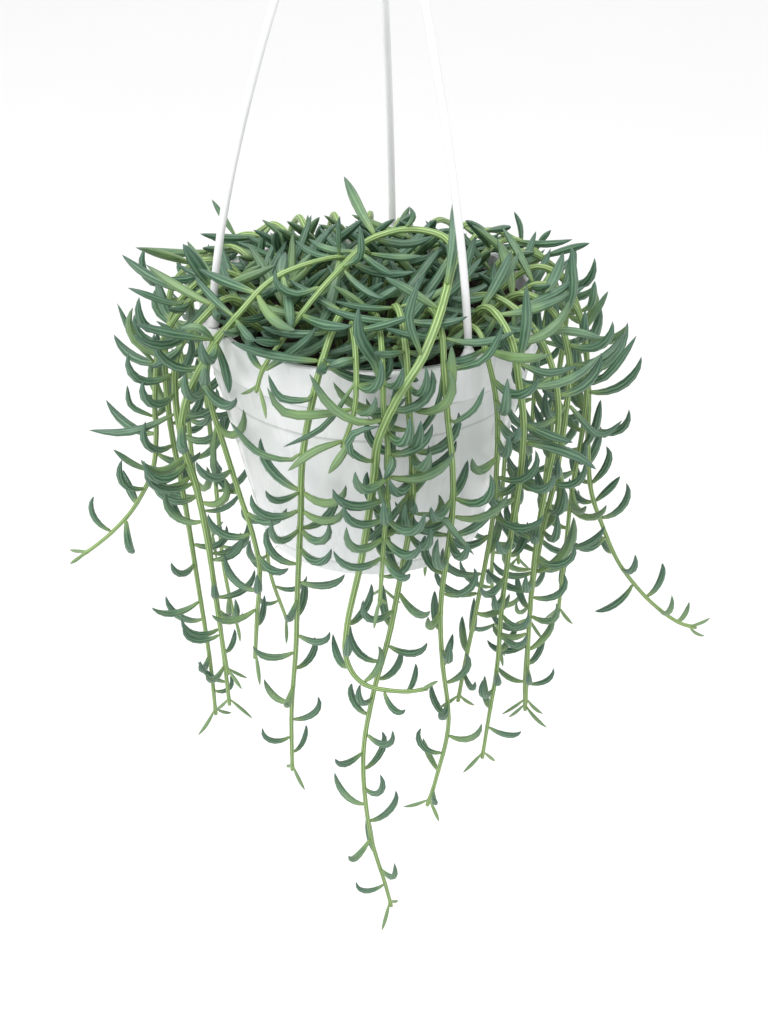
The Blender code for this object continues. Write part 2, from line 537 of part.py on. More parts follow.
class Growth:
    """The plant's leaves as they grow, each clear of the stems and of the leaves before it."""

    def __init__(self, stems):
        self.stems = stems
        self.radii = [thickness(*stem) for stem in stems]
        self.nodes = leaf_nodes(stems)
        self.rng = np.random.default_rng(LEAF_SEED)
        self.leaves = []
        self.taken = {}
        arms = arm_beads()
        beads = [np.column_stack([arms, np.full(len(arms), -1)])]
        for k, (_, _, route) in enumerate(stems):
            beads.append(np.column_stack([route, self.radii[k] * CORNER_OF_ROUND, np.full(len(route), k)]))
        self.pool = np.vstack(beads)

    def spot(self, node):
        """The node's place, and the way its stem runs there."""
        k, at, _, _ = self.nodes[node]
        route = self.stems[k][2]
        return on_route(route, at), unit(on_route(route, at + 1) - on_route(route, at - 1))

    def room(self, node, path, width):
        """The least distance from a leaf to the pot and to all that it doesn't grow from."""
        own = leaf_width(np.linspace(0, 1, LEAF_BEADS)) * width / 2 * LEAF_CORNER
        near = self.pool[np.abs(self.pool[:, :3] - path.mean(axis=0)).max(axis=1) < LEAF_SPAN]
        far = np.linalg.norm(path[:, None] - near[None, :, :3], axis=2) - own[:, None] - near[None, :, 3]
        at_home = (near[:, 4] == self.nodes[node][0]) | (near[:, 4] == len(self.stems) + node)
        far[:ROOT_BEADS, at_home] = LEAF_SPAN
        wall = (pot_room(path[1:]) - own[1:]).min()
        return min(far.min(), wall + LEAF_CLEAR - WALL_CLEAR)

    def side_is_free(self, node, out):
        """Whether no leaf of the node grows on nearly the same side of the stem."""
        return all(np.dot(out, other) < PAIR_SPREAD for other in self.taken.get(node, []))

    def keep(self, node, path, hinge, out, width, solid):
        """Takes a leaf in and marks the room it fills."""
        k, at, _, kind = self.nodes[node]
        self.leaves.append({"stem": k, "at": at, "kind": kind, "solid": solid, "path": path,
                            "hinge": hinge, "out": out, "width": width})
        self.taken.setdefault(node, []).append(out)
        own = leaf_width(np.linspace(0, 1, LEAF_BEADS)) * width / 2 * LEAF_CORNER
        owner = np.full(LEAF_BEADS, len(self.stems) + node)
        self.pool = np.vstack([self.pool, np.column_stack([path, own, owner])])

    def place(self, width, points):
        """A leaf chosen by eye, on the free node nearest its foot, eased along the line of sight."""
        spots = np.array([self.spot(node)[0] for node in range(len(self.nodes))])
        ranked = np.argsort(np.linalg.norm(spots - points[0], axis=1), kind="stable")
        for node in ranked[:CHOSEN_NODES]:
            spot, along = self.spot(node)
            stem_r = self.radii[self.nodes[node][0]][int(self.nodes[node][1])]
            for shift in CHOSEN_SHIFTS:
                rest = [point + LINE_OF_SIGHT * shift * (k + 1) / len(points)
                        for k, point in enumerate(points[1:])]
                out = unit(rest[0] - spot - along * np.dot(rest[0] - spot, along))
                path = even_beads([spot + out * stem_r * LEAF_SUNK] + rest)
                if self.side_is_free(node, out) and self.room(node, path, width) > LEAF_CLEAR:
                    self.keep(node, path, leaf_hinge(path), out, width, True)
                    return True
        return False

    def sprout(self, node, turn, clear, solid):
        """A leaf placed by rule, turned round its stem until it has room."""
        k, at, _, kind = self.nodes[node]
        spot, along = self.spot(node)
        route = self.stems[k][2]
        side = unit(np.cross(along, UP if abs(along[2]) < 0.9 else np.array([1.0, 0, 0])))
        length, width = leaf_size(self.rng, kind, (len(route) - at) * ROUTE_STEP, -spot[2])
        most_rise = LEAF_MOST_RISE[kind]
        if kind == "crown":
            most_rise -= RISE_LOST_AT_RIM * min(1.3, math.hypot(spot[0], spot[1]) / (RIM_R / MM))
            most_rise -= RISE_LOST_AT_BACK * max(0.0, spot[1] / (RIM_R / MM))
            most_rise -= max(0.0, spot[2] - FULL_RISE_BELOW)
        for attempt in range(LEAF_TRIES):
            way_round = 1 if attempt % 2 else -1
            out = turned(side, along, turn + attempt * TRY_TURN * way_round + self.rng.uniform(-0.5, 0.5))
            lean = math.radians(self.rng.uniform(*LEAF_LEAN[kind]))
            bend = self.rng.uniform(*LEAF_BEND[kind])
            sway = math.radians(self.rng.uniform(-LEAF_SWAY, LEAF_SWAY))
            if not self.side_is_free(node, out):
                continue
            heading = unit(out * math.cos(lean) + along * math.sin(lean))
            rise = math.degrees(math.asin(np.clip(heading[2], -1, 1)))
            bend = math.radians(max(min(bend, most_rise - rise), LEAF_LEAST_BEND))
            shrink = 1 - TRY_SHRINK * attempt
            start = spot + out * self.radii[k][int(at)] * LEAF_SUNK
            path, hinge = leaf_path(start, heading, bend, length * shrink, sway)
            if over_crown(path) < 0 and self.room(node, path, width * shrink) > clear:
                self.keep(node, path, hinge, out, width * shrink, solid)
                return


def even_beads(points):
    """A leaf's beads, evenly spaced on a smooth curve through a few points."""
    dense = smooth_route(points, step=0.5)
    return np.array([on_route(dense, spot) for spot in np.linspace(0, len(dense) - 1, LEAF_BEADS)])


def leaf_hinge(path):
    """The axis that a leaf bends about, or a level one across it where it is nearly straight."""
    start, end = unit(path[2] - path[0]), unit(path[-1] - path[-3])
    hinge = np.cross(start, end)
    if np.linalg.norm(hinge) < 0.15:
        hinge = np.cross(start, UP) + 1e-3
    return unit(hinge)


def is_bare(stems, node):
    """Whether a node lies on a stretch of stem that has dropped its leaves."""
    k, at, _, kind = node
    high, low = BARE_STRETCHES.get(k + 1, (0, 0))
    return kind != "tip" and low < on_route(stems[k][2], at)[2] < high


def is_solid(node):
    """Whether the packed model has leaves at this node: at every tip, and at some in between."""
    _, _, rank, kind = node
    return kind == "tip" or rank % SOLID_EVERY[kind] == 0


def grow_main_leaves(stems):
    """The leaves of the packed model: first the chosen ones, then a pair or one at each node."""
    growth = Growth(stems)
    for width, *points in CHOSEN_LEAVES:
        growth.place(width, [polar(*point) for point in points])
    order = growth.rng.permutation(len(growth.nodes))
    for node in order:
        if is_solid(growth.nodes[node]) and not is_bare(stems, growth.nodes[node]):
            _, _, rank, kind = growth.nodes[node]
            for side in range(1 if kind == "trail" else 2):
                growth.sprout(node, NODE_TURN * rank + math.pi * side, LEAF_CLEAR, True)
    return growth


def corners(centre, x_axis, y_axis, half_x, half_y):
    """Four corners round a place, anticlockwise as seen from the side the section faces."""
    return [centre + x_axis * half_x * a + y_axis * half_y * b
            for a, b in ((1, 1), (-1, 1), (-1, -1), (1, -1))]


def least_twisted(face, places):
    """The corners in the order that twists the new section least against the face."""
    now = [np.array(vert.co) / MM for vert in face.verts]
    turns = [places[k:] + places[:k] for k in range(4)]
    return min(turns, key=lambda order: sum(np.sum((a - b) ** 2) for a, b in zip(now, order)))


def push_out(bm, face, places):
    """Extrudes a face and sets the new face's corners."""
    made = bmesh.ops.extrude_discrete_faces(bm, faces=[face])["faces"][0]
    for vert, place in zip(made.verts, least_twisted(face=made, places=places)):
        vert.co = Vector(place * MM)
    return made


def grow_blade(bm, face, leaf):
    """Extrudes a leaf from one face of its stem: two sections and a pointed tip."""
    path, hinge, width = leaf["path"], leaf["hinge"], leaf["width"]
    for at in LEAF_SECTIONS[leaf["kind"]]:
        spot = at * (LEAF_BEADS - 1)
        low = int(spot)
        centre = path[low] + (path[low + 1] - path[low]) * (spot - low)
        way = unit(path[low + 1] - path[low])
        across = unit(hinge - way * np.dot(hinge, way))
        half = leaf_width(at) * width / 2 * SQUARE_OF_ROUND
        places = corners(centre, across, np.cross(way, across), half, half * THICK_OF_WIDTH)
        face = push_out(bm, face, places)
    poked = bmesh.ops.poke(bm, faces=[face])
    poked["verts"][0].co = Vector(path[-1] * MM)


def section_marks(route, leaves):
    """Where along the route the stem has a section: two at each leaf, more where it bends."""
    marks = []
    for leaf in leaves:
        if not marks or leaf["at"] - marks[-1][1] > LEAF_FOOT:
            marks.append((leaf["at"] - LEAF_FOOT, leaf["at"] + LEAF_FOOT, [leaf]))
        else:
            marks[-1][2].append(leaf)
    filled = []
    last = 0.0
    for start, end, borne in marks + [(len(route) - 1.0, len(route) - 1.0, [])]:
        while start - last > 1.5:
            ahead = last
            while ahead < start and strays(route, last, min(ahead + 0.5, start)) < MOST_BOW:
                ahead += 0.5
            if ahead >= start - 1.2:
                break
            filled.append((ahead, ahead, []))
            last = ahead
        filled.append((start, end, borne))
        last = end
    return filled


def on_route(route, at):
    low = min(int(at), len(route) - 2)
    return route[low] + (route[low + 1] - route[low]) * (at - low)


def strays(route, start, end):
    """How far the route bows away from the straight line between two of its places."""
    a, b = on_route(route, start), on_route(route, end)
    line = unit(b - a)
    middle = [on_route(route, start + (end - start) * t) - a for t in (0.25, 0.5, 0.75)]
    return max(np.linalg.norm(m - line * np.dot(m, line)) for m in middle)


def leafy_stem(name, route, radii, leaves):
    """One stem with the leaves that grow out of it, as one closed body."""
    bm = bmesh.new()
    base = route[0] - UP * (ROOT_DEPTH / MM)
    bmesh.ops.create_grid(bm, x_segments=1, y_segments=1, size=1.0)
    face = list(bm.faces)[0]
    x_axis, y_axis = np.array([1.0, 0, 0]), np.array([0.0, 1.0, 0])
    half = radii[0] * SQUARE_OF_ROUND
    for vert, place in zip(face.verts, least_twisted(face, corners(base, x_axis, y_axis, half, half))):
        vert.co = Vector(place * MM)
    face = push_out(bm, face, corners(route[0] + UP * 0.8, x_axis, y_axis, half, half))
    sections = section_marks(route, sorted(leaves, key=lambda leaf: leaf["at"]))
    for start, end, borne in sections:
        mid = 0.5 * (start + end)
        ahead, behind = min(mid + 0.6, len(route) - 1.0), max(mid - 0.6, 0.0)
        along = unit(on_route(route, ahead) - on_route(route, behind))
        x_axis = borne[0]["out"] if borne else x_axis
        x_axis = unit(x_axis - along * np.dot(x_axis, along))
        y_axis = np.cross(along, x_axis)
        half = np.interp(mid, range(len(radii)), radii) * SQUARE_OF_ROUND
        for at in ((start, end) if borne else (mid,)):
            centre = on_route(route, mid) + along * (at - mid) * ROUTE_STEP
            face = push_out(bm, face, corners(centre, x_axis, y_axis, half, half))
        sides = [f for edge in face.edges for f in edge.link_faces if f is not face]
        for leaf in borne:
            spot = on_route(route, mid)
            side = max(sides, key=lambda f: np.dot(np.array(f.calc_center_median()) / MM - spot,
                                                   leaf["out"]))
            sides.remove(side)
            grow_blade(bm, side, leaf)
    bmesh.ops.holes_fill(bm, edges=[edge for edge in bm.edges if edge.is_boundary], sides=0)
    for vert in bm.verts:
        vert.co.z += RIM_Z
    bmesh.ops.recalc_face_normals(bm, faces=bm.faces)
    return finish_mesh(bm, name)


def finish_mesh(bm, name):
    """The finished mesh as a named object, which empties the mesh in the making."""
    mesh = bpy.data.meshes.new(name)
    bm.to_mesh(mesh)
    bm.free()
    thing = bpy.data.objects.new(name, mesh)
    bpy.context.scene.collection.objects.link(thing)
    return thing


def material(name, colour, roughness, metallic=0.0):
    made = bpy.data.materials.new(name)
    made.use_nodes = True
    shader = made.node_tree.nodes["Principled BSDF"]
    shader.inputs["Base Color"].default_value = (*colour, 1.0)
    shader.inputs["Roughness"].default_value = roughness
    shader.inputs["Metallic"].default_value = metallic
    return made


def turned_body(name, profile, sides):
    """A closed body turned about the axis from a profile of (radius, height) pairs."""
    bm = bmesh.new()
    verts = [bm.verts.new((radius, 0, height)) for radius, height in profile]
    edges = [bm.edges.new(pair) for pair in zip(verts, verts[1:])]
    bmesh.ops.spin(bm, geom=verts + edges, cent=(0, 0, 0), axis=(0, 0, 1), dvec=(0, 0, 0),
                   angle=2 * math.pi, steps=sides, use_merge=True)
    bmesh.ops.remove_doubles(bm, verts=bm.verts, dist=1e-5)
    bmesh.ops.recalc_face_normals(bm, faces=bm.faces)
    return finish_mesh(bm, name)


def rod(bm, start, end, radius, sides):
    """A straight round rod between two places, added to a mesh in the making."""
    line = Vector(end) - Vector(start)
    place = Matrix.Translation((Vector(start) + Vector(end)) / 2)
    place = place @ Vector((0, 0, 1)).rotation_difference(line).to_matrix().to_4x4()
    bmesh.ops.create_cone(bm, cap_ends=True, segments=sides, radius1=radius, radius2=radius,
                          depth=line.length, matrix=place)


def tube(name, route, radii, sides):
    """A round bar along a route, closed at both ends."""
    bm = bmesh.new()
    bmesh.ops.create_circle(bm, cap_ends=True, segments=sides, radius=1.0)
    face = list(bm.faces)[0]
    across = None
    for k, (place, radius) in enumerate(zip(route, radii)):
        ahead = route[min(k + 1, len(route) - 1)]
        behind = route[max(k - 1, 0)]
        along = (Vector(ahead) - Vector(behind)).normalized()
        start = across or along.orthogonal()
        across = (start - along * start.dot(along)).normalized()
        other = along.cross(across)
        if k:
            face = bmesh.ops.extrude_discrete_faces(bm, faces=[face])["faces"][0]
        for n, vert in enumerate(face.verts):
            turn = 2 * math.pi * n / sides
            vert.co = Vector(place) + (across * math.cos(turn) + other * math.sin(turn)) * radius
    bmesh.ops.holes_fill(bm, edges=[edge for edge in bm.edges if edge.is_boundary], sides=0)
    bmesh.ops.recalc_face_normals(bm, faces=bm.faces)
    return finish_mesh(bm, name)


def shade_round(thing):
    thing.data.shade_smooth()
    thing.data.set_sharp_from_angle(angle=math.radians(SHARP_ANGLE))


def as_cutter(thing):
    thing.hide_render = True
    thing.display_type = "WIRE"
    return thing


def boolean(thing, other, operation):
    step = thing.modifiers.new(operation.lower(), "BOOLEAN")
    step.operation = operation
    step.solver = "EXACT"
    step.object = other


def make_pot():
    """The thin moulded shell: a deep rim band with three bosses, a tapered wall and a foot."""
    top, base = RIM_Z, RIM_Z - POT_H
    profile = [
        (0, base), (BASE_R - 0.001, base), (BASE_R, base + 0.001), (BASE_R + 0.0010, base + FOOT_H),
        (BASE_R + 0.0010 + FOOT_STEP, base + FOOT_H + FOOT_STEP), (WALL_TOP_R, top - BAND_H),
        (RIM_FOOT_R, top - BAND_H), (RIM_R, top - 0.0010), (RIM_R - 0.0010, top),
        (LIP_IN_R + 0.0010, top), (LIP_IN_R, top - 0.0010), (LIP_IN_R, top - BAND_H),
        (BASE_R - WALL + 0.0012, base + WALL + 0.0008), (0, base + WALL),
    ]
    pot = turned_body("pot", profile, POT_SIDES)
    blocks, holes = bmesh.new(), bmesh.new()
    for azimuth in ARM_AZIMUTHS:
        turn = Matrix.Rotation(-math.radians(azimuth), 4, "Z")
        deep = BOSS_R - LIP_IN_R - 0.0010
        size = Matrix.Diagonal((deep, BOSS_WIDTH, BAND_H, 1))
        middle = Matrix.Translation((BOSS_R - deep / 2, 0, top - BAND_H / 2 - 0.0004))
        bmesh.ops.create_cube(blocks, size=1.0, matrix=turn @ middle @ size)
        foot = turn @ Vector((ARM_FOOT_R, 0, 0))
        rod(holes, foot + Vector((0, 0, top - PEG_LENGTH - 0.002)), foot + Vector((0, 0, top + 0.002)),
            PEG_R + GAP, 8)
    for k in range(DRAINS):
        turn = math.radians(360 / DRAINS * k + 20)
        spot = Vector((DRAIN_RING_R * math.cos(turn), DRAIN_RING_R * math.sin(turn), 0))
        rod(holes, spot + Vector((0, 0, base - 0.004)), spot + Vector((0, 0, base + 0.006)), DRAIN_R, 8)
    boolean(pot, as_cutter(finish_mesh(blocks, "boss_blocks")), "UNION")
    boolean(pot, as_cutter(finish_mesh(holes, "pot_holes")), "DIFFERENCE")
    shade_round(pot)
    pot.data.materials.append(material("pot_plastic", (0.86, 0.87, 0.88), 0.28))
    return pot


def make_soil(stems, radii):
    """Dark potting mix filling the pot, with a plain square hole for each stem."""
    base = RIM_Z - POT_H
    inner_foot = BASE_R - WALL + 0.0012
    fall = (LIP_IN_R - inner_foot) / (POT_H - BAND_H - WALL - 0.0008)
    floor = base + WALL + 0.0008 + 0.0010
    profile = [
        (0, floor), (inner_foot - 0.0012, floor), (inner_foot + fall * 0.0010 - GAP * 1.4, floor + 0.0010),
        (LIP_IN_R - GAP * 1.4, RIM_Z - BAND_H - 0.0003), (LIP_IN_R - GAP * 1.4, SOIL_Z - 0.0006),
        (0.62 * LIP_IN_R, SOIL_Z), (0, SOIL_Z + SOIL_CROWN),
    ]
    soil = turned_body("soil", profile, POT_SIDES)
    holes = bmesh.new()
    for (_, _, route), sizes in zip(stems, radii):
        half = (sizes[0] * SQUARE_OF_ROUND) * MM + GAP
        size = Matrix.Diagonal((2 * half, 2 * half, HOLE_DEPTH + 0.01, 1))
        middle = Vector(route[0] * MM) + Vector((0, 0, RIM_Z - HOLE_DEPTH + (HOLE_DEPTH + 0.01) / 2))
        bmesh.ops.create_cube(holes, size=1.0, matrix=Matrix.Translation(middle) @ size)
    boolean(soil, as_cutter(finish_mesh(holes, "root_holes")), "DIFFERENCE")
    soil.data.materials.append(material("potting_soil", (0.035, 0.027, 0.022), 0.95))
    return soil


def hook_route():
    """The hook's centre line: a shank from the hub that swings aside and turns over the top."""
    bend_r = HOOK_INNER_R + HOOK_WIRE_R
    centre_z = -HOOK_INNER_R
    low = -HOOK_RISE + JOIN_RISE
    route = []
    for share in np.linspace(0, 1, 6, endpoint=False):
        swing = bend_r * (1 - math.cos(math.pi * share)) / 2
        route.append(Vector((swing, 0, low + (centre_z - low) * share)))
    for turn in np.radians(np.arange(0, 211, 30)):
        route.append(Vector((bend_r * math.cos(turn), 0, centre_z + bend_r * math.sin(turn))))
    return route


def make_hanger():
    """One moulded piece: a hook, a hub, three bowed arms and the pegs that sit in the rim."""
    hub_z = RIM_Z + JOIN_RISE
    profile = [(0, hub_z - HUB_H), (0.6 * HUB_R, hub_z - 0.9 * HUB_H), (HUB_R, hub_z - 0.5 * HUB_H),
               (HUB_R, hub_z - 0.2 * HUB_H), (0.55 * HUB_R, hub_z + 0.35 * HUB_H), (0, hub_z + 0.5 * HUB_H)]
    hanger = turned_body("hanger", profile, 12)
    hook = hook_route()
    boolean(hanger, as_cutter(tube("hook_bar", hook, [HOOK_WIRE_R] * len(hook), 6)), "UNION")
    for k, azimuth in enumerate(ARM_AZIMUTHS):
        rises = JOIN_RISE / MM * np.linspace(0.02, 0.965, 11)
        route = [in_row(polar(azimuth, arm_radius(rise), rise)) for rise in rises]
        foot = in_row(polar(azimuth, ARM_FOOT_R / MM, 0))
        steps = [
            (foot - Vector((0, 0, PEG_LENGTH)), PEG_R), (foot + Vector((0, 0, GAP)), PEG_R),
            (foot + Vector((0, 0, GAP + 0.00001)), COLLAR_R),
            (foot + Vector((0, 0, GAP + COLLAR_H)), ARM_R * 1.5),
        ]
        steps += [(place, ARM_R) for place in route]
        arm = tube("arm_bar_%d" % (k + 1), [s[0] for s in steps], [s[1] for s in steps], 6)
        boolean(hanger, as_cutter(arm), "UNION")
    shade_round(hanger)
    hanger.data.materials.append(material("hanger_plastic", (0.88, 0.88, 0.89), 0.35))
    return hanger


def make_bark_chip():
    """A curled dry chip lying on the soil at the front."""
    bm = bmesh.new()
    bmesh.ops.create_cube(bm, size=1.0, matrix=Matrix.Diagonal((0.0140, 0.0050, 0.0022, 1)))
    bmesh.ops.subdivide_edges(bm, edges=bm.edges, cuts=2, use_grid_fill=True)
    for vert in bm.verts:
        x, y, z = vert.co
        vert.co = (x, y * (1 - (x / 0.012) ** 2), z + 6 * x * x + 40 * y * y)
    lie = Matrix.Rotation(math.radians(62), 4, "Z") @ Matrix.Rotation(math.radians(-8), 4, "X")
    spot = in_row(polar(123, 62, -SOIL_DEPTH / MM + 2.6))
    bmesh.ops.transform(bm, matrix=Matrix.Translation(spot) @ lie, verts=bm.verts)
    chip = finish_mesh(bm, "bark_chip")
    chip.data.materials.append(material("dry_bark", (0.24, 0.12, 0.08), 0.85))
    return chip


def make_plant():
    """The leafy stems, each one body rooted in its own hole."""
    stems = ease_apart(stem_routes())
    growth = grow_main_leaves(stems)
    green = material("leaf_green", (0.13, 0.24, 0.16), 0.45)
    for k, (name, _, route) in enumerate(stems):
        own = [leaf for leaf in growth.leaves if leaf["stem"] == k]
        thing = leafy_stem(name, route, growth.radii[k], own)
        thing.data.materials.append(green)
    return stems, growth.radii


def main():
    for thing in list(bpy.data.objects):
        bpy.data.objects.remove(thing, do_unlink=True)
    stems, radii = make_plant()
    make_soil(stems, radii)
    make_pot()
    make_hanger()
    make_bark_chip()


main()
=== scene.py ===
# %% [markdown]
# # A potted string of fishhooks
#
# A white plastic pot hangs on three thin arms from a hook. It is full of a trailing succulent
# whose slim leaves curl up at their tips like fishhooks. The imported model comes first. It gives
# every piece its place and its size, and this lesson dresses it: round walls with moulded
# edges, crumbly soil, and leaves with stripes, waxy bloom and yellow-green bases.

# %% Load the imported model
import math

import bmesh
import bpy
import numpy as np
from mathutils import Matrix, Vector, noise
from mathutils.kdtree import KDTree


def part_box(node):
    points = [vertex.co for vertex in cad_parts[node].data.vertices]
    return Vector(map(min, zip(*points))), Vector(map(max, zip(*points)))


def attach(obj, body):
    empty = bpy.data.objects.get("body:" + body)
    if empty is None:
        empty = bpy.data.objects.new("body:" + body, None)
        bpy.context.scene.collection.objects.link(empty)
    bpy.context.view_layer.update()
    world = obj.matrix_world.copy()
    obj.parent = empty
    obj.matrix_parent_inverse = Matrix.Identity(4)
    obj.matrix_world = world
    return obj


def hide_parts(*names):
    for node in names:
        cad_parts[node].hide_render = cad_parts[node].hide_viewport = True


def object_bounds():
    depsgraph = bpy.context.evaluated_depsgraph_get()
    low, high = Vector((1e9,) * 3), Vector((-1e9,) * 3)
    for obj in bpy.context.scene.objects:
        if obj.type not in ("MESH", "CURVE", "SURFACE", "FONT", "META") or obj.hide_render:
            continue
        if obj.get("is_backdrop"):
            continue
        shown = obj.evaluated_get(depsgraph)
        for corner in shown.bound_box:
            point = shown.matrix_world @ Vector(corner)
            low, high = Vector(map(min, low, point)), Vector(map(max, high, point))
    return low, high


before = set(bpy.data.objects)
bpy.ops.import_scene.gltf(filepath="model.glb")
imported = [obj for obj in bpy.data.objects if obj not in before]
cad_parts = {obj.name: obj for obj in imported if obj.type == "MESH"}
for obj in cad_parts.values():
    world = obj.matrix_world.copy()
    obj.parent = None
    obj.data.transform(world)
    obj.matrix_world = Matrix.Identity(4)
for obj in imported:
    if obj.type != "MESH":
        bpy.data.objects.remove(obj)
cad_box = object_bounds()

MM = 0.001
BODY = "root"
_, pot_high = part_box("pot")
RIM_Z = pot_high.z
print("nodes", len(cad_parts), "rim at %.3f m" % RIM_Z)

# %% [markdown]
# ## The camera
#
# The camera looks down on the rim from in front. A scratch script, which isn't part of this
# lesson, fitted its height, tilt and focal length to the pot's rim and foot in the picture. The
# pot hangs a little to the left of the picture's middle, so the camera is turned by less than
# half a degree.

# %% Camera
CAMERA_FAR = 0.90
CAMERA_ABOVE = math.radians(24.7)
CAMERA_DOWN = math.radians(31.15)
CAMERA_TURN = math.radians(-0.43)
FOCAL_PIXELS = 1912.0
IMAGE_WIDTH = 768
SENSOR_MM = 36.0

camera_data = bpy.data.cameras.new("camera")
camera_data.sensor_fit = "HORIZONTAL"
camera_data.sensor_width = SENSOR_MM
camera_data.lens = FOCAL_PIXELS / IMAGE_WIDTH * SENSOR_MM
camera_data.clip_start = 0.01
camera = bpy.data.objects.new("camera", camera_data)
camera.location = (0, -CAMERA_FAR * math.cos(CAMERA_ABOVE), RIM_Z + CAMERA_FAR * math.sin(CAMERA_ABOVE))
camera.rotation_euler = (math.pi / 2 - CAMERA_DOWN, 0, CAMERA_TURN)
bpy.context.scene.collection.objects.link(camera)
bpy.context.scene.camera = camera
print("lens %.1f mm" % camera_data.lens)

# %% [markdown]
# ## Materials as expressions
#
# A material is a small graph of nodes. Written out node by node it hides its own idea, so this
# cell wraps a socket in a class that understands + - * and /. An expression such as
# `0.4 + 0.2 * grain` then adds the Math nodes by itself. Colours go through Mix nodes, because
# a Math node would turn them grey.

# %% A small language for materials
class Wire:
    """A value that flows through a material. Arithmetic on it adds Math nodes."""

    def __init__(self, finish, socket):
        self.finish = finish
        self.socket = socket

    def maths(self, operation, *values):
        return self.finish.node("Math", {"operation": operation}, dict(enumerate(values))).wire(0)

    def __add__(self, other):
        return self.maths("ADD", self, other)

    def __sub__(self, other):
        return self.maths("SUBTRACT", self, other)

    def __rsub__(self, other):
        return self.maths("SUBTRACT", other, self)

    def __mul__(self, other):
        return self.maths("MULTIPLY", self, other)

    def __truediv__(self, other):
        return self.maths("DIVIDE", self, other)

    __radd__ = __add__
    __rmul__ = __mul__

    def wave(self):
        """The cosine of this value, from -1 to 1."""
        return self.maths("COSINE", self)

    def step(self, low, high):
        """0 below low, 1 above high and a smooth climb between."""
        return self.finish.node("MapRange", {"interpolation_type": "SMOOTHSTEP"},
                                {"Value": self, "From Min": low, "From Max": high}).wire("Result")


class Made:
    """A node that was just added, whose outputs are taken by name or number."""

    def __init__(self, finish, node):
        self.finish = finish
        self.node = node

    def wire(self, name):
        return Wire(self.finish, self.node.outputs[name])


class Finish:
    """A material in the making, with one method that adds any node."""

    def __init__(self, name, **constants):
        self.material = bpy.data.materials.new(name)
        self.material.use_nodes = True
        self.tree = self.material.node_tree
        self.shader = self.tree.nodes["Principled BSDF"]
        for socket, value in constants.items():
            self.shader.inputs[socket.replace("_", " ")].default_value = value

    def node(self, kind, settings, values):
        made = self.tree.nodes.new("ShaderNode" + kind)
        for name, value in settings.items():
            setattr(made, name, value)
        for name, value in values.items():
            self.feed(made.inputs[name], value)
        return Made(self, made)

    def feed(self, socket, value):
        if isinstance(value, Wire):
            self.tree.links.new(value.socket, socket)
        else:
            socket.default_value = value

    def set(self, name, value):
        self.feed(self.shader.inputs[name], value)

    def noise(self, scale, detail=3.0, stretch=(1, 1, 1)):
        """Soft noise from 0 to 1, in the object's own metres; a stretch above 1 packs it tighter."""
        place = self.node("TexCoord", {}, {}).wire("Object")
        place = self.node("VectorMath", {"operation": "MULTIPLY"}, {0: place, 1: stretch}).wire(0)
        return self.node("TexNoise", {}, {"Vector": place, "Scale": scale, "Detail": detail}).wire(0)

    def mark(self, name):
        """A number that the mesh carries at each of its points."""
        return self.node("Attribute", {"attribute_name": name}, {}).wire("Fac")

    def mix(self, share, first, second):
        """A colour between two, each a triple or a wire."""
        made = self.node("Mix", {"data_type": "RGBA"}, {0: share})
        for socket, value in ((made.node.inputs[6], first), (made.node.inputs[7], second)):
            self.feed(socket, value if isinstance(value, Wire) else (*value, 1.0))
        return made.wire(2)

    def bump(self, height, strength, distance):
        self.set("Normal", self.node("Bump", {}, {"Height": height, "Strength": strength,
                                                  "Distance": distance}).wire("Normal"))


print("materials can be written as expressions")

# %% [markdown]
# ## The floor, the sky and the lamps
#
# The pot was seen against plain white. A pale floor well below the plant and a pale sky do the
# same. They also light the leaves from all round, and three big softboxes add a soft direction:
# mostly from above and from the left.

# %% Floor, sky and softboxes
FLOOR_DROP = 0.55
FLOOR_SIZE = 9.0


def new_object(name, bm, finish):
    """The mesh in the making as an object with one material. It empties the mesh in the making."""
    mesh = bpy.data.meshes.new(name)
    bm.to_mesh(mesh)
    bm.free()
    mesh.materials.append(finish.material)
    thing = bpy.data.objects.new(name, mesh)
    bpy.context.scene.collection.objects.link(thing)
    return thing


floor_finish = Finish("pale_floor", Roughness=0.9)
floor_cloud = floor_finish.noise(3.0)
floor_finish.set("Base Color", floor_finish.mix(floor_cloud, (0.90, 0.90, 0.90), (0.93, 0.93, 0.93)))
floor_bm = bmesh.new()
bmesh.ops.create_grid(floor_bm, x_segments=1, y_segments=1, size=FLOOR_SIZE / 2)
bmesh.ops.translate(floor_bm, vec=(0, 0, cad_box[0].z - FLOOR_DROP), verts=floor_bm.verts)
new_object("floor", floor_bm, floor_finish)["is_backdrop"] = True

world = bpy.data.worlds.new("pale_sky")
world.use_nodes = True
world.node_tree.nodes["Background"].inputs["Color"].default_value = (1.0, 1.0, 1.0, 1.0)
world.node_tree.nodes["Background"].inputs["Strength"].default_value = 1.0
bpy.context.scene.world = world
bpy.context.scene.view_settings.view_transform = "Standard"


def softbox(name, place, size, watts):
    """A square lamp that points at the pot."""
    data = bpy.data.lights.new(name, "AREA")
    data.size = size
    data.energy = watts
    thing = bpy.data.objects.new(name, data)
    thing.location = place
    aim = Vector((0, 0, RIM_Z - 0.05)) - Vector(place)
    thing.rotation_euler = aim.to_track_quat("-Z", "Y").to_euler()
    bpy.context.scene.collection.objects.link(thing)


softbox("softbox_above", (-0.3, -0.5, 1.1), 1.0, 20.0)
softbox("softbox_left", (-1.3, -0.9, 0.3), 1.0, 9.0)
softbox("softbox_right", (1.4, -0.6, 0.2), 1.0, 4.0)
print("one floor and three softboxes")

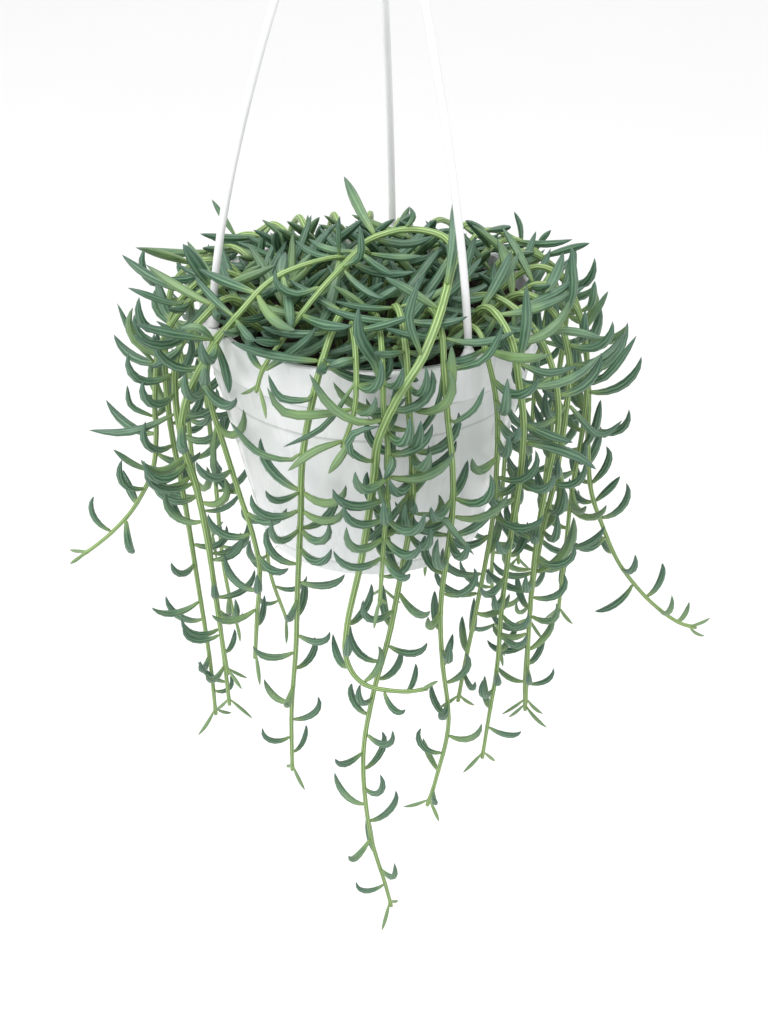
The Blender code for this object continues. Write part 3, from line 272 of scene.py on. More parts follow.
# %% [markdown]
# ## How a piece joins the model
#
# Each new piece takes the place of one imported node and rides on the same body. A turned piece
# is a profile spun about the pot's axis. Its corners are rounded by a formula, and each rounding
# is held by a point on either side, so that the flat walls next to it stay flat in smooth shading.

# %% Pieces and turned profiles
def add_piece(name, bm, finish, slot, *nodes):
    """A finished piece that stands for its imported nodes."""
    thing = new_object(name, bm, finish)
    thing.data.shade_smooth()
    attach(thing, BODY)
    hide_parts(*nodes)
    return thing


def rounded(corners, steps=4, hold=1.5):
    """A profile of (radius, height) points from corners given as (radius, height, rounding)."""
    points = []
    for k, (radius, height, rounding) in enumerate(corners):
        corner = Vector((radius, height))
        if not rounding:
            points.append(corner)
            continue
        back = (Vector(corners[k - 1][:2]) - corner).normalized() * rounding
        on = (Vector(corners[k + 1][:2]) - corner).normalized() * rounding
        points.append(corner + back * hold)
        for step in range(steps + 1):
            t = step / steps
            points.append(corner + back * (1 - t) ** 2 + on * t**2)
        points.append(corner + on * hold)
    return points


def lathed(profile, sides):
    """A closed body spun about the pot's axis from its profile."""
    bm = bmesh.new()
    verts = [bm.verts.new((radius, 0, height)) for radius, height in profile]
    edges = [bm.edges.new(pair) for pair in zip(verts, verts[1:])]
    bmesh.ops.spin(bm, geom=verts + edges, cent=(0, 0, 0), axis=(0, 0, 1), dvec=(0, 0, 0),
                   angle=2 * math.pi, steps=sides, use_merge=True)
    bmesh.ops.remove_doubles(bm, verts=bm.verts, dist=1e-5)
    bmesh.ops.recalc_face_normals(bm, faces=bm.faces)
    return bm


print("helpers for turned pieces are ready")

# %% [markdown]
# ## The pot
#
# The real pot is injection-moulded in one shot: a deep rim band that stiffens the mouth, a wall
# that tapers so the mould lets go, a fine line a little below the band, and a foot. Where the
# hanger's pegs go in, the band is thickened by three low bosses. They are raised from the turned
# wall by a formula of the angle. The plastic is glossy, a little warm, with faint upright streaks
# where it flowed into the mould. Just under each of the three steps a thin grey line of painted
# shade is laid into the white.

# %% Pot
BAND_H = 0.0195
LIP_IN_R = 0.0760
WALL_TOP_R = 0.0778
WALL = 0.0018
BASE_R = 0.0550
POT_H = 0.1200
FOOT_H = 0.0070
FOOT_STEP = 0.0006
BOSS_WIDTH = 0.0095
BOSS_R = 0.0812
ARM_AZIMUTHS = (57.0, 156.5, 278.0)
RIM_R = 0.0800
RIM_FOOT_R = 0.0794
POT_SIDES = 224
LINE_DROP = 0.0365
LINE_STEP = 0.00035
# How far below each step the painted shade line reaches
PAINTED_SHADE_DEPTH = 0.0022

top = RIM_Z
base = RIM_Z - POT_H
wall_slope = (WALL_TOP_R - BASE_R - 0.001 - FOOT_STEP) / (POT_H - BAND_H - FOOT_H)
line_r = WALL_TOP_R - wall_slope * (LINE_DROP - BAND_H)
pot_bm = lathed(rounded([
    (0, base, 0), (BASE_R, base, 0.0010), (BASE_R + 0.0010, base + FOOT_H, 0.0002),
    (BASE_R + 0.0010 + FOOT_STEP, base + FOOT_H + 0.0003, 0.0003),
    (line_r, top - LINE_DROP, 0.0002), (line_r + LINE_STEP, top - LINE_DROP + 0.0002, 0.0003),
    (WALL_TOP_R, top - BAND_H, 0.0006), (RIM_FOOT_R, top - BAND_H, 0.0007), (RIM_R, top, 0.0016),
    (LIP_IN_R, top, 0.0012), (LIP_IN_R, top - BAND_H, 0.0010),
    (BASE_R - WALL + 0.0012, base + WALL, 0.0010), (0, base + WALL, 0),
]), POT_SIDES)


def boss_rise(place):
    """How far the rim band's outside is pushed out at a place: a plateau with soft flanks."""
    rise = 0.0
    for azimuth in ARM_AZIMUTHS:
        turn = math.radians(azimuth)
        along = Vector((math.cos(turn), -math.sin(turn), 0))
        across = abs(place.cross(along).z)
        if place.dot(along) > 0 and across < BOSS_WIDTH:
            rise += 1 / (1 + (2 * across / BOSS_WIDTH) ** 8)
    return (BOSS_R - RIM_R) * rise


for vert in pot_bm.verts:
    out = Vector((vert.co.x, vert.co.y, 0))
    if out.length > RIM_FOOT_R - 0.0012 and vert.co.z > top - BAND_H - 0.0002:
        vert.co += out.normalized() * boss_rise(vert.co)

pot_finish = Finish("pot_plastic", Coat_Weight=0.25, Coat_Roughness=0.08)
cloud = pot_finish.noise(22.0, detail=4.0)
streak = pot_finish.noise(60.0, detail=3.0, stretch=(1, 1, 0.12))
pot_white = pot_finish.mix(cloud.step(0.35, 0.75), (0.83, 0.84, 0.85), (0.77, 0.79, 0.81))
pot_white = pot_finish.mix(0.35 * streak.step(0.52, 0.75), pot_white, (0.66, 0.68, 0.70))
height = pot_finish.node("TexCoord", {}, {}).wire("Object")
height = pot_finish.node("SeparateXYZ", {}, {0: height}).wire("Z")
# Painted shade: a thin grey line just under the rim band's step, the fine line and the foot, where each
# overhang shades the wall
for line_z, share in ((top - BAND_H, 0.8), (top - LINE_DROP, 0.55), (base + FOOT_H, 0.5)):
    painted_shade_line = height.step(line_z - PAINTED_SHADE_DEPTH, line_z) * (1.0 - height.step(line_z, line_z + 0.0004))
    pot_white = pot_finish.mix(share * painted_shade_line, pot_white, (0.40, 0.43, 0.42))
pot_finish.set("Base Color", pot_white)
pot_finish.set("Roughness", 0.2 + 0.15 * streak)
pot_finish.bump(pot_finish.noise(140.0, detail=2.0), 0.05, 0.0004)
pot = add_piece("moulded_pot", pot_bm, pot_finish, "pot_plastic", "pot")
print("pot", len(pot.data.polygons), "faces")

# %% [markdown]
# ## The hanger
#
# The hanger is moulded too: a hook, a hub and three arms that bow out to the rim. At each foot a
# collar flares and stands on the lip, and a peg below it is pressed into the boss. Every bar is a
# flat grid rolled into a tube round its route. The leaves and stems are made by the same roll
# later on, so it also lays out a map: across the map is round the tube, up the map is along it.

# %% Rolled tubes
STRAND = "strand"
MARKS = ("tint", "leafy", "young")
SEAM = 2e-6


class Roll:
    """A flat grid that is rolled into a tube, as often as it is put into a mesh."""

    def __init__(self, rings, sides):
        bm = bmesh.new()
        bm.loops.layers.uv.new(STRAND)
        bmesh.ops.create_grid(bm, x_segments=sides, y_segments=rings - 1, size=0.5, calc_uvs=True)
        for name in MARKS:
            bm.verts.layers.float.new(name)
        flat = np.array([vert.co for vert in bm.verts]) + 0.5
        self.turn = 2 * math.pi * flat[:, 0]
        self.ring = np.rint(flat[:, 1] * (rings - 1)).astype(int)
        self.mesh = bpy.data.meshes.new("roll")
        bm.to_mesh(self.mesh)
        bm.free()

    def put(self, bm, centres, across, up, half, half_up, **marks):
        """Adds one tube. Centres, axes and half widths are given ring by ring, in metres."""
        ring = self.ring
        places = (centres[ring] + across[ring] * (np.cos(self.turn) * half[ring])[:, None]
                  + up[ring] * (np.sin(self.turn) * half_up[ring])[:, None])
        self.mesh.vertices.foreach_set("co", places.astype(np.float32).ravel())
        for name, value in marks.items():
            self.mesh.attributes[name].data.foreach_set("value", np.full(len(ring), value, np.float32))
        bm.from_mesh(self.mesh)


def carried_axes(centres, first):
    """The axes across a bent bar, carried along it without twisting."""
    ways = np.gradient(centres, axis=0)
    ways /= np.linalg.norm(ways, axis=1)[:, None]
    across = []
    for way in ways:
        first = first - way * np.dot(first, way)
        first = first / np.linalg.norm(first)
        across.append(first)
    across = np.array(across)
    return across, np.cross(ways, across)


def closed_tube(bm, centres, half, first, sides, flat=1.0):
    """One round bar in a mesh, with both ends closed. Flat below 1 makes it oval."""
    centres = np.array(centres)
    across, up = carried_axes(centres, np.array(first, float))
    Roll(len(centres), sides).put(bm, centres, across, up, np.array(half) * flat, np.array(half))


def close_seams(bm):
    """Joins each tube along its seam and at its two ends, and turns its faces outwards."""
    bmesh.ops.remove_doubles(bm, verts=bm.verts, dist=SEAM)
    bmesh.ops.dissolve_degenerate(bm, edges=bm.edges, dist=SEAM)
    bmesh.ops.recalc_face_normals(bm, faces=bm.faces)


print("a grid can be rolled into a tube")

# %% Hanger
JOIN_RISE = 0.2480
ARM_R = 0.0018
ARM_FOOT_R = 0.0782
ARM_BOW = 1.50
PEG_R = 0.0012
PEG_LENGTH = 0.0100
HUB_R = 0.0062
HUB_H = 0.0110
HOOK_WIRE_R = 0.0024
HOOK_INNER_R = 0.0100
GAP = 0.0003
COLLAR_HALF = 0.0042
COLLAR_TOP_HALF = 0.0024
COLLAR_H = 0.0046


def arm_radius(rise):
    """How far a hanger arm stands from the axis, in millimetres, at a height above the rim."""
    return (ARM_FOOT_R / MM) * (1 - (rise * MM / JOIN_RISE) ** ARM_BOW)


def arm_place(azimuth, rise):
    """A place on an arm's centre line, in metres, from its height in millimetres above the rim."""
    turn = math.radians(azimuth)
    radius = arm_radius(rise) * MM
    return (radius * math.cos(turn), -radius * math.sin(turn), RIM_Z + rise * MM)


def end_cap(half, steps=4):
    """The (advance, half width) of rings that round off a bar's end."""
    turns = [math.pi / 2 * k / steps for k in range(steps)]
    return [(half * math.sin(turn), half * math.cos(turn)) for turn in turns]


hub_z = RIM_Z + JOIN_RISE
hanger_bm = lathed(rounded([
    (0, hub_z - HUB_H, 0), (0.6 * HUB_R, hub_z - 0.9 * HUB_H, 0.0012),
    (HUB_R, hub_z - 0.5 * HUB_H, 0.0014), (HUB_R, hub_z - 0.2 * HUB_H, 0.0014),
    (0.55 * HUB_R, hub_z + 0.35 * HUB_H, 0.0012), (0, hub_z + 0.5 * HUB_H, 0),
]), 48)
for azimuth in ARM_AZIMUTHS:
    turn = math.radians(azimuth)
    outward = (math.cos(turn), -math.sin(turn), 0)
    foot = np.array((*(np.array(outward[:2]) * ARM_FOOT_R), RIM_Z))
    pin = [(-PEG_LENGTH, 0.0), (-PEG_LENGTH + 0.0002, 0.8 * PEG_R)]
    pin += [(-PEG_LENGTH + 0.0008, PEG_R), (GAP, PEG_R)]
    flare = [(GAP + 1e-5, 0.3), (GAP + 2e-5, 0.85), (GAP + 0.0003, 1.0), (GAP + 0.0008, 1.0)]
    closed_tube(hanger_bm, [foot + (0, 0, rise) for rise, _ in pin] + [foot + (0, 0, GAP + 0.001)],
                [half for _, half in pin] + [0.0], outward, 16)
    collar = [(rise, share * COLLAR_HALF) for rise, share in flare]
    collar += [(GAP + COLLAR_H * 0.75, COLLAR_TOP_HALF * 1.1), (GAP + COLLAR_H, COLLAR_TOP_HALF * 0.9),
               (GAP + COLLAR_H + 0.0004, ARM_R * 0.8)]
    closed_tube(hanger_bm, [foot + (0, 0, GAP)] + [foot + (0, 0, rise) for rise, _ in collar]
                + [foot + (0, 0, GAP + COLLAR_H + 0.0006)],
                [0.0] + [half for _, half in collar] + [0.0], outward, 24, flat=0.72)
    rises = np.concatenate([[0.6, 1.0], np.linspace(2.0, 0.965 * JOIN_RISE / MM, 60)])
    arm = [arm_place(azimuth, rise) for rise in rises]
    halves = [0.0] + [ARM_R] * (len(arm) - 2) + [0.0]
    closed_tube(hanger_bm, arm, halves, outward, 16)

bend_r = HOOK_INNER_R + HOOK_WIRE_R
hook = []
for share in np.linspace(0, 1, 20, endpoint=False):
    swing = bend_r * (1 - math.cos(math.pi * share)) / 2
    hook.append((swing, 0, hub_z + (-HOOK_INNER_R - hub_z) * share))
for turn in np.radians(np.arange(0, 211, 7.5)):
    hook.append((bend_r * math.cos(turn), 0, -HOOK_INNER_R + bend_r * math.sin(turn)))
tip_way = np.array((math.sin(math.radians(210)), 0, -math.cos(math.radians(210))))
tip_way = -tip_way
last = np.array(hook[-1])
hook += [last + tip_way * ahead for ahead, _ in end_cap(HOOK_WIRE_R)[1:]] + [last + tip_way * HOOK_WIRE_R]
halves = [0.0] + [HOOK_WIRE_R] * (len(hook) - 5) + [half for _, half in end_cap(HOOK_WIRE_R)[1:]] + [0.0]
closed_tube(hanger_bm, hook, halves, (0, 1, 0), 20)
close_seams(hanger_bm)

hanger_finish = Finish("hanger_plastic", Coat_Weight=0.1)
flow = hanger_finish.noise(50.0, detail=3.0, stretch=(1, 1, 0.2))
hanger_white = hanger_finish.mix(flow.step(0.4, 0.7), (0.70, 0.70, 0.71), (0.62, 0.63, 0.64))
hanger_finish.set("Base Color", hanger_white)
hanger_finish.set("Roughness", 0.3 + 0.15 * flow)
hanger_finish.bump(hanger_finish.noise(300.0, detail=2.0), 0.1, 0.0004)
hanger = add_piece("moulded_hanger", hanger_bm, hanger_finish, "hanger_plastic", "hanger")
print("hanger", len(hanger.data.polygons), "faces")

# %% [markdown]
# ## The soil and the bark chip
#
# Potting mix is nearly black where it is moist. Its top is a turned disc, finely cut up and
# shaken by noise, with a few hundred crumbs pressed into it. A dry, reddish chip of bark curls
# on it at the front left, where the leaves leave the soil bare.

# %% Soil
SOIL_DEPTH = 0.0090
SOIL_SIDES = 96
SOIL_RINGS = 26
LUMP = 0.0011
CRUMBS = 520
CRUMB_SIZE = (0.0006, 0.0022)
SOIL_SEED = 5

soil_z = RIM_Z - SOIL_DEPTH
inner_foot = BASE_R - WALL + 0.0012
floor_z = base + WALL + 0.0018
soil_profile = [(0, floor_z), (inner_foot - 0.0008, floor_z), (LIP_IN_R - 0.0005, top - BAND_H - 0.0003),
                (LIP_IN_R - 0.0005, soil_z - 0.0010)]
soil_profile += [((LIP_IN_R - 0.0005) * (1 - k / SOIL_RINGS), soil_z) for k in range(SOIL_RINGS + 1)]
soil_bm = lathed(soil_profile, SOIL_SIDES)
for vert in soil_bm.verts:
    if vert.co.z > soil_z - 0.0002:
        edge = min(1.0, (LIP_IN_R - Vector((vert.co.x, vert.co.y)).length) / 0.004)
        vert.co.z += LUMP * edge * (noise.noise(vert.co * 160) + 0.6 * noise.noise(vert.co * 420))
draw = np.random.default_rng(SOIL_SEED)
for _ in range(CRUMBS):
    far = (LIP_IN_R - 0.003) * math.sqrt(draw.random())
    turn = draw.random() * 2 * math.pi
    size = draw.uniform(*CRUMB_SIZE)
    lie_z = soil_z + size * draw.uniform(-0.2, 0.3)
    spot = Matrix.Translation((far * math.cos(turn), far * math.sin(turn), lie_z))
    spin = Matrix.Rotation(draw.random() * 6.28, 4, Vector(draw.normal(size=3)).normalized())
    crumb = bmesh.ops.create_icosphere(soil_bm, subdivisions=1, radius=size,
                                       matrix=spot @ spin @ Matrix.Diagonal((1, 0.7, 0.5, 1)))
    for vert in crumb["verts"]:
        vert.co += Vector(draw.normal(size=3)) * size * 0.12
bmesh.ops.recalc_face_normals(soil_bm, faces=soil_bm.faces)

soil_finish = Finish("potting_soil", Roughness=0.95, Specular_IOR_Level=0.2)
grit = soil_finish.noise(900.0, detail=5.0)
damp = soil_finish.noise(60.0, detail=2.0)
earth = soil_finish.mix(grit.step(0.35, 0.7), (0.012, 0.009, 0.008), (0.050, 0.036, 0.027))
soil_finish.set("Base Color", soil_finish.mix(0.4 * damp.step(0.5, 0.8), earth, (0.020, 0.016, 0.014)))
soil_finish.bump(grit, 0.6, 0.0006)
soil = add_piece("potting_mix", soil_bm, soil_finish, "potting_soil", "soil")
print("soil", len(soil.data.polygons), "faces")

# %% Bark chip
CHIP_SIZE = (0.0150, 0.0058, 0.0018)
chip_low, chip_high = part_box("bark_chip")
chip_spot = (chip_low + chip_high) / 2
chip_bm = bmesh.new()
bmesh.ops.create_cube(chip_bm, size=1.0, matrix=Matrix.Diagonal((*CHIP_SIZE, 1)))
bmesh.ops.subdivide_edges(chip_bm, edges=chip_bm.edges, cuts=9, use_grid_fill=True)
for vert in chip_bm.verts:
    x, y, z = vert.co
    narrow = 1 - (x / 0.0125) ** 2
    fold = 0.0006 * noise.noise(Vector((x * 120, y * 900, 3.0)))
    ragged = 0.0008 * noise.noise(Vector((y * 700, 1.0, 7.0)))
    vert.co = (x + ragged, y * narrow, z + 6 * x * x + 55 * y * y + fold)
lie = Matrix.Rotation(math.radians(62), 4, "Z") @ Matrix.Rotation(math.radians(-8), 4, "X")
bmesh.ops.transform(chip_bm, matrix=Matrix.Translation(chip_spot) @ lie, verts=chip_bm.verts)
middle = sum((vert.co for vert in chip_bm.verts), Vector()) / len(chip_bm.verts)
bmesh.ops.translate(chip_bm, vec=chip_spot - middle, verts=chip_bm.verts)

chip_finish = Finish("dry_bark", Roughness=0.85)
fibre = chip_finish.noise(500.0, detail=4.0, stretch=(1, 0.25, 1))
bark_red = chip_finish.mix(fibre.step(0.35, 0.7), (0.16, 0.07, 0.05), (0.42, 0.24, 0.17))
chip_finish.set("Base Color", bark_red)
chip_finish.bump(fibre, 0.7, 0.0005)
chip = add_piece("curled_bark_chip", chip_bm, chip_finish, "dry_bark", "bark_chip")
print("bark chip", len(chip.data.polygons), "faces")

# %% [markdown]
# ## The plan of the plant
#
# Every stem follows a route: out of the soil, over the rim and down. Its places are given as an
# azimuth round the pot, a distance from its axis and a height above its rim. The stems that the
# picture shows start from points picked in it. A scratch script turned those points into
# azimuths and heights, and the rows were then completed and changed by hand. The stems on the
# hidden side are drawn by a seeded rule. The solids of the imported model grew from this same
# plan, so the finer stems fit where they stand.

# %% Stems read off the picture
UP = np.array([0.0, 0.0, 1.0])

# Each row is the radius at the root, then the places from the soil to the tip
VISIBLE_TRAILS = (
    (1.7, (95, 38, -9), (97, 50, 14), (101, 68, 22), (103, 84, 14), (106, 91, -8), (110, 89, -40),
     (112, 86, -75), (115, 82, -115), (117, 80, -150), (120, 79, -190), (121, 78, -228)),
    (2.1, (165, 16, -9), (135, 18, 20), (97, 22, 36), (65, 25, 42), (44, 31, 42), (40, 43, 41),
     (46, 54, 38), (54, 60, 36), (64, 73, 31), (72, 88, 24), (78, 99, 14), (84, 105, 1),
     (88, 105, -18), (90, 99, -50), (93, 93, -88), (97, 93, -122), (97, 97, -140), (92, 99, -152),
     (82, 100, -156), (75, 99, -157)),
    (1.7, (78, 34, -9), (79, 50, 16), (80, 72, 24), (80, 86, 12), (80, 92, -8), (79, 93, -35),
     (79, 92, -66), (82, 91, -100), (85, 88, -133), (90, 86, -169), (93, 88, -205), (91, 89, -249),
     (86, 88, -285), (84, 88, -300)),
    (1.5, (88, 24, -9), (88, 46, 12), (87, 70, 18), (87, 90, 12), (87, 101, -10), (86, 103, -40),
     (87, 100, -75), (88, 98, -108)),
    (1.6, (62, 42, -9), (65, 60, 18), (68, 80, 18), (70, 92, 2), (70, 97, -18), (68, 95, -42),
     (67, 92, -71), (69, 89, -116), (68, 88, -150), (65, 87, -190), (69, 87, -222), (72, 87, -238)),
    (1.8, (42, 52, -9), (46, 72, 18), (49, 92, 12), (50, 100, -6), (47, 99, -30), (44, 94, -60),
     (45, 92, -84), (46, 91, -108), (47, 90, -133), (48, 90, -165), (51, 90, -195), (53, 90, -217)),
    (1.3, (56, 55, -9), (56, 70, 12), (55, 84, 8), (53, 90, -12), (50, 88, -40), (49, 85, -84),
     (53, 83, -128), (58, 83, -164), (60, 83, -182)),
    (1.6, (25, 50, -9), (24, 72, 14), (24, 90, 8), (23, 98, -15), (22, 97, -45), (24, 95, -75),
     (30, 94, -98), (34, 93, -126), (34, 92, -153), (35, 92, -183), (34, 92, -203)),
    (1.4, (12, 55, -9), (11, 76, 12), (10, 92, 6), (10, 101, -15), (10, 103, -50), (10, 99, -95),
     (11, 98, -118), (12, 97, -141), (13, 96, -165)),
    (1.5, (358, 50, -9), (0, 74, 14), (1, 90, 8), (2, 99, -12), (2, 104, -45), (0, 106, -80),
     (0, 109, -106), (0, 116, -127), (0, 125, -148), (1, 136, -163), (1, 147, -175), (2, 158, -182),
     (2, 167, -185)),
    (1.5, (166, 56, -9), (163, 74, 14), (162, 90, 6), (164, 101, -14), (168, 104, -45),
     (170, 104, -62), (171, 107, -84), (173, 117, -106), (174, 128, -120), (175, 138, -130),
     (175, 145, -135)),
    (1.8, (150, 50, -9), (149, 72, 16), (150, 88, 8), (157, 94, -8), (160, 96, -24), (160, 96, -45),
     (158, 94, -66), (155, 91, -84), (153, 88, -105), (153, 87, -125), (152, 86, -142),
     (150, 85, -175), (149, 84, -205)),
    (1.8, (120, 12, -9), (108, 22, 22), (109, 40, 36), (121, 56, 37), (129, 70, 32), (133, 84, 20),
     (138, 92, 6), (143, 96, -10), (148, 98, -26), (151, 99, -42), (151, 98, -58), (149, 95, -75),
     (147, 92, -110), (146, 90, -145), (144, 88, -180)),
    (1.5, (138, 54, -9), (140, 72, 9), (143, 86, 4), (146, 89, -14), (147, 87, -32), (143, 85, -50),
     (137, 84, -72), (132, 83, -92), (130, 82, -112), (132, 82, -138), (134, 82, -165)),
    (1.6, (178, 42, -9), (172, 66, 16), (168, 86, 10), (167, 97, -12), (166, 98, -50),
     (163, 94, -95), (160, 91, -140), (158, 88, -185), (157, 87, -218)),
    (1.6, (34, 32, -9), (35, 60, 16), (36, 84, 12), (35, 98, -8), (34, 102, -35), (36, 100, -65),
     (38, 98, -95), (39, 97, -135), (38, 96, -170), (37, 95, -195)),
    (1.7, (88, 10, -9), (92, 18, 24), (97, 34, 38), (106, 54, 35), (112, 68, 27), (117, 80, 15),
     (121, 90, 2), (123, 92, -10)),
    (1.7, (100, 52, -9), (98, 60, 12), (96, 76, 20), (94, 92, 12), (94, 101, -6), (97, 103, -24)),
)

print(len(VISIBLE_TRAILS), "stems read off the picture")

# %% The other stems
HIDDEN_TRAILS = 13
HIDDEN_ARC = (190.0, 350.0)
HIDDEN_DROPS = (150, 215, 120, 235, 180, 100, 225, 165, 200, 130, 240, 175, 205)
HIDDEN_RADIUS = (1.4, 1.8)
HIDDEN_WANDER = 5
HIDDEN_SAG = (0.3, 0.55, 0.8, 1.0)
CROWN_STEMS = 23
CROWN_REACH = 64.0
CROWN_SEED = 11
CROWN_RADIUS = (1.6, 1.9)
CROWN_RISE = 16
CROWN_RISE_LOST = (6, 5)
CROWN_LEAN = (5, 15)
CROWN_SWAY = 9
GOLDEN_TURN = 137.508
SPIRAL_TURNS = 80
ROOTS_APART = 9.5
BARE_SOIL = (46, 96, 136)
ROUTE_STEP = 3.0
ROOT_Z = -9


def polar(azimuth, radius, height):
    """A place from its azimuth, its millimetres from the pot's axis and above the rim."""
    turn = math.radians(azimuth)
    return np.array([radius * math.cos(turn), -radius * math.sin(turn), height])


def unit(vector):
    return vector / max(np.linalg.norm(vector), 1e-9)


def turned(vector, axis, angle):
    """The vector turned about a unit axis."""
    c, s = math.cos(angle), math.sin(angle)
    return vector * c + np.cross(axis, vector) * s + axis * np.dot(axis, vector) * (1 - c)


def smooth_route(points, step=ROUTE_STEP):
    """Places a fixed step apart on a smooth curve through the points."""
    knots = np.array([2 * points[0] - points[1]] + list(points) + [2 * points[-1] - points[-2]])
    dense = []
    for a, b, c, d in zip(knots, knots[1:], knots[2:], knots[3:]):
        for u in np.arange(0, 1, 0.08):
            dense.append(0.5 * (2 * b + (c - a) * u + (2 * a - 5 * b + 4 * c - d) * u * u
                                + (3 * b - 3 * c + d - a) * u**3))
    dense.append(points[-1])
    dense = np.array(dense)
    run = np.concatenate([[0], np.cumsum(np.linalg.norm(np.diff(dense, axis=0), axis=1))])
    marks = np.linspace(0, run[-1], max(4, int(run[-1] / step)))
    return np.stack([np.interp(marks, run, dense[:, k]) for k in range(3)], axis=1)


def farness(azimuth):
    """From 0 on the side the pot is seen from to 1 at its back, where the plant is lower."""
    return max(0.0, -math.sin(math.radians(azimuth)))


def hidden_trail(rng, azimuth, drop):
    """The route of a stem on the far side: out of the soil, over the rim and down."""
    swing = rng.uniform(-HIDDEN_WANDER, HIDDEN_WANDER)
    out = rng.uniform(0, 7)
    back = farness(azimuth)
    points = [
        (azimuth + swing, rng.uniform(42, 60), ROOT_Z),
        (azimuth + swing / 2, 70, rng.uniform(10, 15) - 6 * back),
        (azimuth, 88, rng.uniform(6, 9) - 3 * back),
        (azimuth, 98 + out, -14),
    ]
    for share in HIDDEN_SAG:
        wander = azimuth + rng.uniform(-HIDDEN_WANDER, HIDDEN_WANDER) * share
        points.append((wander, 97 + out * (1 - share) - 9 * share, -14 - (drop - 14) * share))
    return rng.uniform(*HIDDEN_RADIUS), points


def crown_shoot(rng, azimuth, radius):
    """The route of a short upright shoot, leaning out more the further out it stands."""
    share = radius / CROWN_REACH
    lost_at_edge, lost_at_back = CROWN_RISE_LOST
    height = CROWN_RISE - (lost_at_edge + lost_at_back * farness(azimuth)) * share + rng.uniform(-4, 4)
    lean = CROWN_LEAN[0] + CROWN_LEAN[1] * share
    sway = rng.uniform(-CROWN_SWAY, CROWN_SWAY)
    points = [
        (azimuth, radius, ROOT_Z),
        (azimuth, radius + 0.15 * lean, 0),
        (azimuth + sway / 2, radius + 0.5 * lean, 0.55 * height),
        (azimuth + sway, radius + lean, height),
    ]
    return rng.uniform(*CROWN_RADIUS), points


def root_free(root, roots, apart):
    """Whether a root stands at least so far from all the others."""
    return all(np.linalg.norm(root - other) > apart for other in roots)


def stem_routes():
    """Every stem as (name, root radius, places): the trailing stems, then the crown shoots."""
    rng = np.random.default_rng(CROWN_SEED)
    given = [(row[0], row[1:]) for row in VISIBLE_TRAILS]
    for index in range(HIDDEN_TRAILS):
        share = (index + 0.5) / HIDDEN_TRAILS
        azimuth = HIDDEN_ARC[0] + share * (HIDDEN_ARC[1] - HIDDEN_ARC[0])
        given.append(hidden_trail(rng, azimuth, HIDDEN_DROPS[index]))
    roots = [polar(*points[0])[:2] for _, points in given]
    stems = [("trailing_stem_%02d" % (k + 1), size, points)
             for k, (size, points) in enumerate(given)]
    made = 0
    bare_r, bare_from, bare_to = BARE_SOIL
    for index in range(5 * SPIRAL_TURNS):
        sweep = index // SPIRAL_TURNS
        radius = CROWN_REACH * math.sqrt((index % SPIRAL_TURNS + 0.5) / SPIRAL_TURNS)
        azimuth = (index * GOLDEN_TURN + 7 * sweep) % 360
        root = polar(azimuth, radius, 0)[:2]
        bare_front = radius > bare_r and bare_from < azimuth < bare_to
        if bare_front or not root_free(root, roots, ROOTS_APART - sweep):
            continue
        size, points = crown_shoot(rng, azimuth, radius)
        made += 1
        roots.append(root)
        stems.append(("crown_stem_%02d" % made, size, points))
        if made == CROWN_STEMS:
            break
    return [(name, size, smooth_route([polar(*p) for p in points]))
            for name, size, points in stems]


stems = stem_routes()
print(len(stems), "stems, the longest", max(len(route) for _, _, route in stems) * ROUTE_STEP, "mm")

# %% [markdown]
# Stems drawn one by one would run through each other, so the routes are then eased apart, a
# little at a time: each place that is too near another stem, the pot or an arm of the hanger is
# pushed away, and the push is spread along its own stem so that it stays a smooth curve.

# %% Ease the routes apart
TIP_RADIUS = {"trail": 0.95, "crown": 1.15}
TAPER = 1.4
THICKEST_AT = {2: 0.4, 13: 0.5}
SLIM_START = 0.6
STEM_APART = 1.3
STEM_SEARCH = 6.5
ARM_SEARCH = 9.0
ARM_LIFT = 0.3
POT_APART = 0.8
OVER_POT_R = 82
EASE_TURNS = 60
EASE_STEM = 0.5
EASE_POT = 0.6
EASE_SMOOTH = 5
HELD_BEADS = 2
CORNER_OF_ROUND = 1.25
POT_OUTLINE = np.array([(78.0, -2.2), (77.6, -18.0), (76.6, -21.0), (54.0, -118.5), (0.0, -118.5)])
POT_HALF_WALL = 2.3


def thickness(name, size, route):
    """The stem's radius at each of its places: it thins towards the tip."""
    share = np.linspace(0, 1, len(route))
    if name.startswith("crown"):
        return size + (TIP_RADIUS["crown"] - size) * share**TAPER
    thickest = THICKEST_AT.get(int(name[-2:]), 0.0)
    beyond = np.clip((share - thickest) / (1 - thickest), 0, 1)
    swell = np.interp(share, (thickest - 0.3, thickest), (SLIM_START if thickest else 1.0, 1.0))
    return swell * (size + (TIP_RADIUS["trail"] - size) * beyond**TAPER)


def arm_beads():
    """Beads along the hanger's arms and round their feet, which the plant keeps clear of."""
    beads = []
    for azimuth in ARM_AZIMUTHS:
        for rise in range(0, 150, 3):
            beads.append((*polar(azimuth, arm_radius(rise), rise), ARM_R / MM))
        for height in range(-20, 6, 4):
            beads.append((*polar(azimuth, 78.5, height), 5.2))
    return np.array(beads)


def pot_room(places):
    """The distance in millimetres from each place to the pot's wall, and above the soil."""
    flat = np.stack([np.hypot(places[:, 0], places[:, 1]), places[:, 2]], axis=1)
    nearest = np.full(len(flat), 1e9)
    for start, end in zip(POT_OUTLINE, POT_OUTLINE[1:]):
        along = end - start
        share = np.clip((flat - start) @ along / (along @ along), 0, 1)
        gap = np.linalg.norm(flat - start - share[:, None] * along, axis=1)
        nearest = np.minimum(nearest, gap)
    inside = flat[:, 0] < 77
    over_soil = np.where(inside & (flat[:, 1] > -60), flat[:, 1] + SOIL_DEPTH / MM - 1.5, 1e9)
    return np.minimum(nearest - POT_HALF_WALL, over_soil)


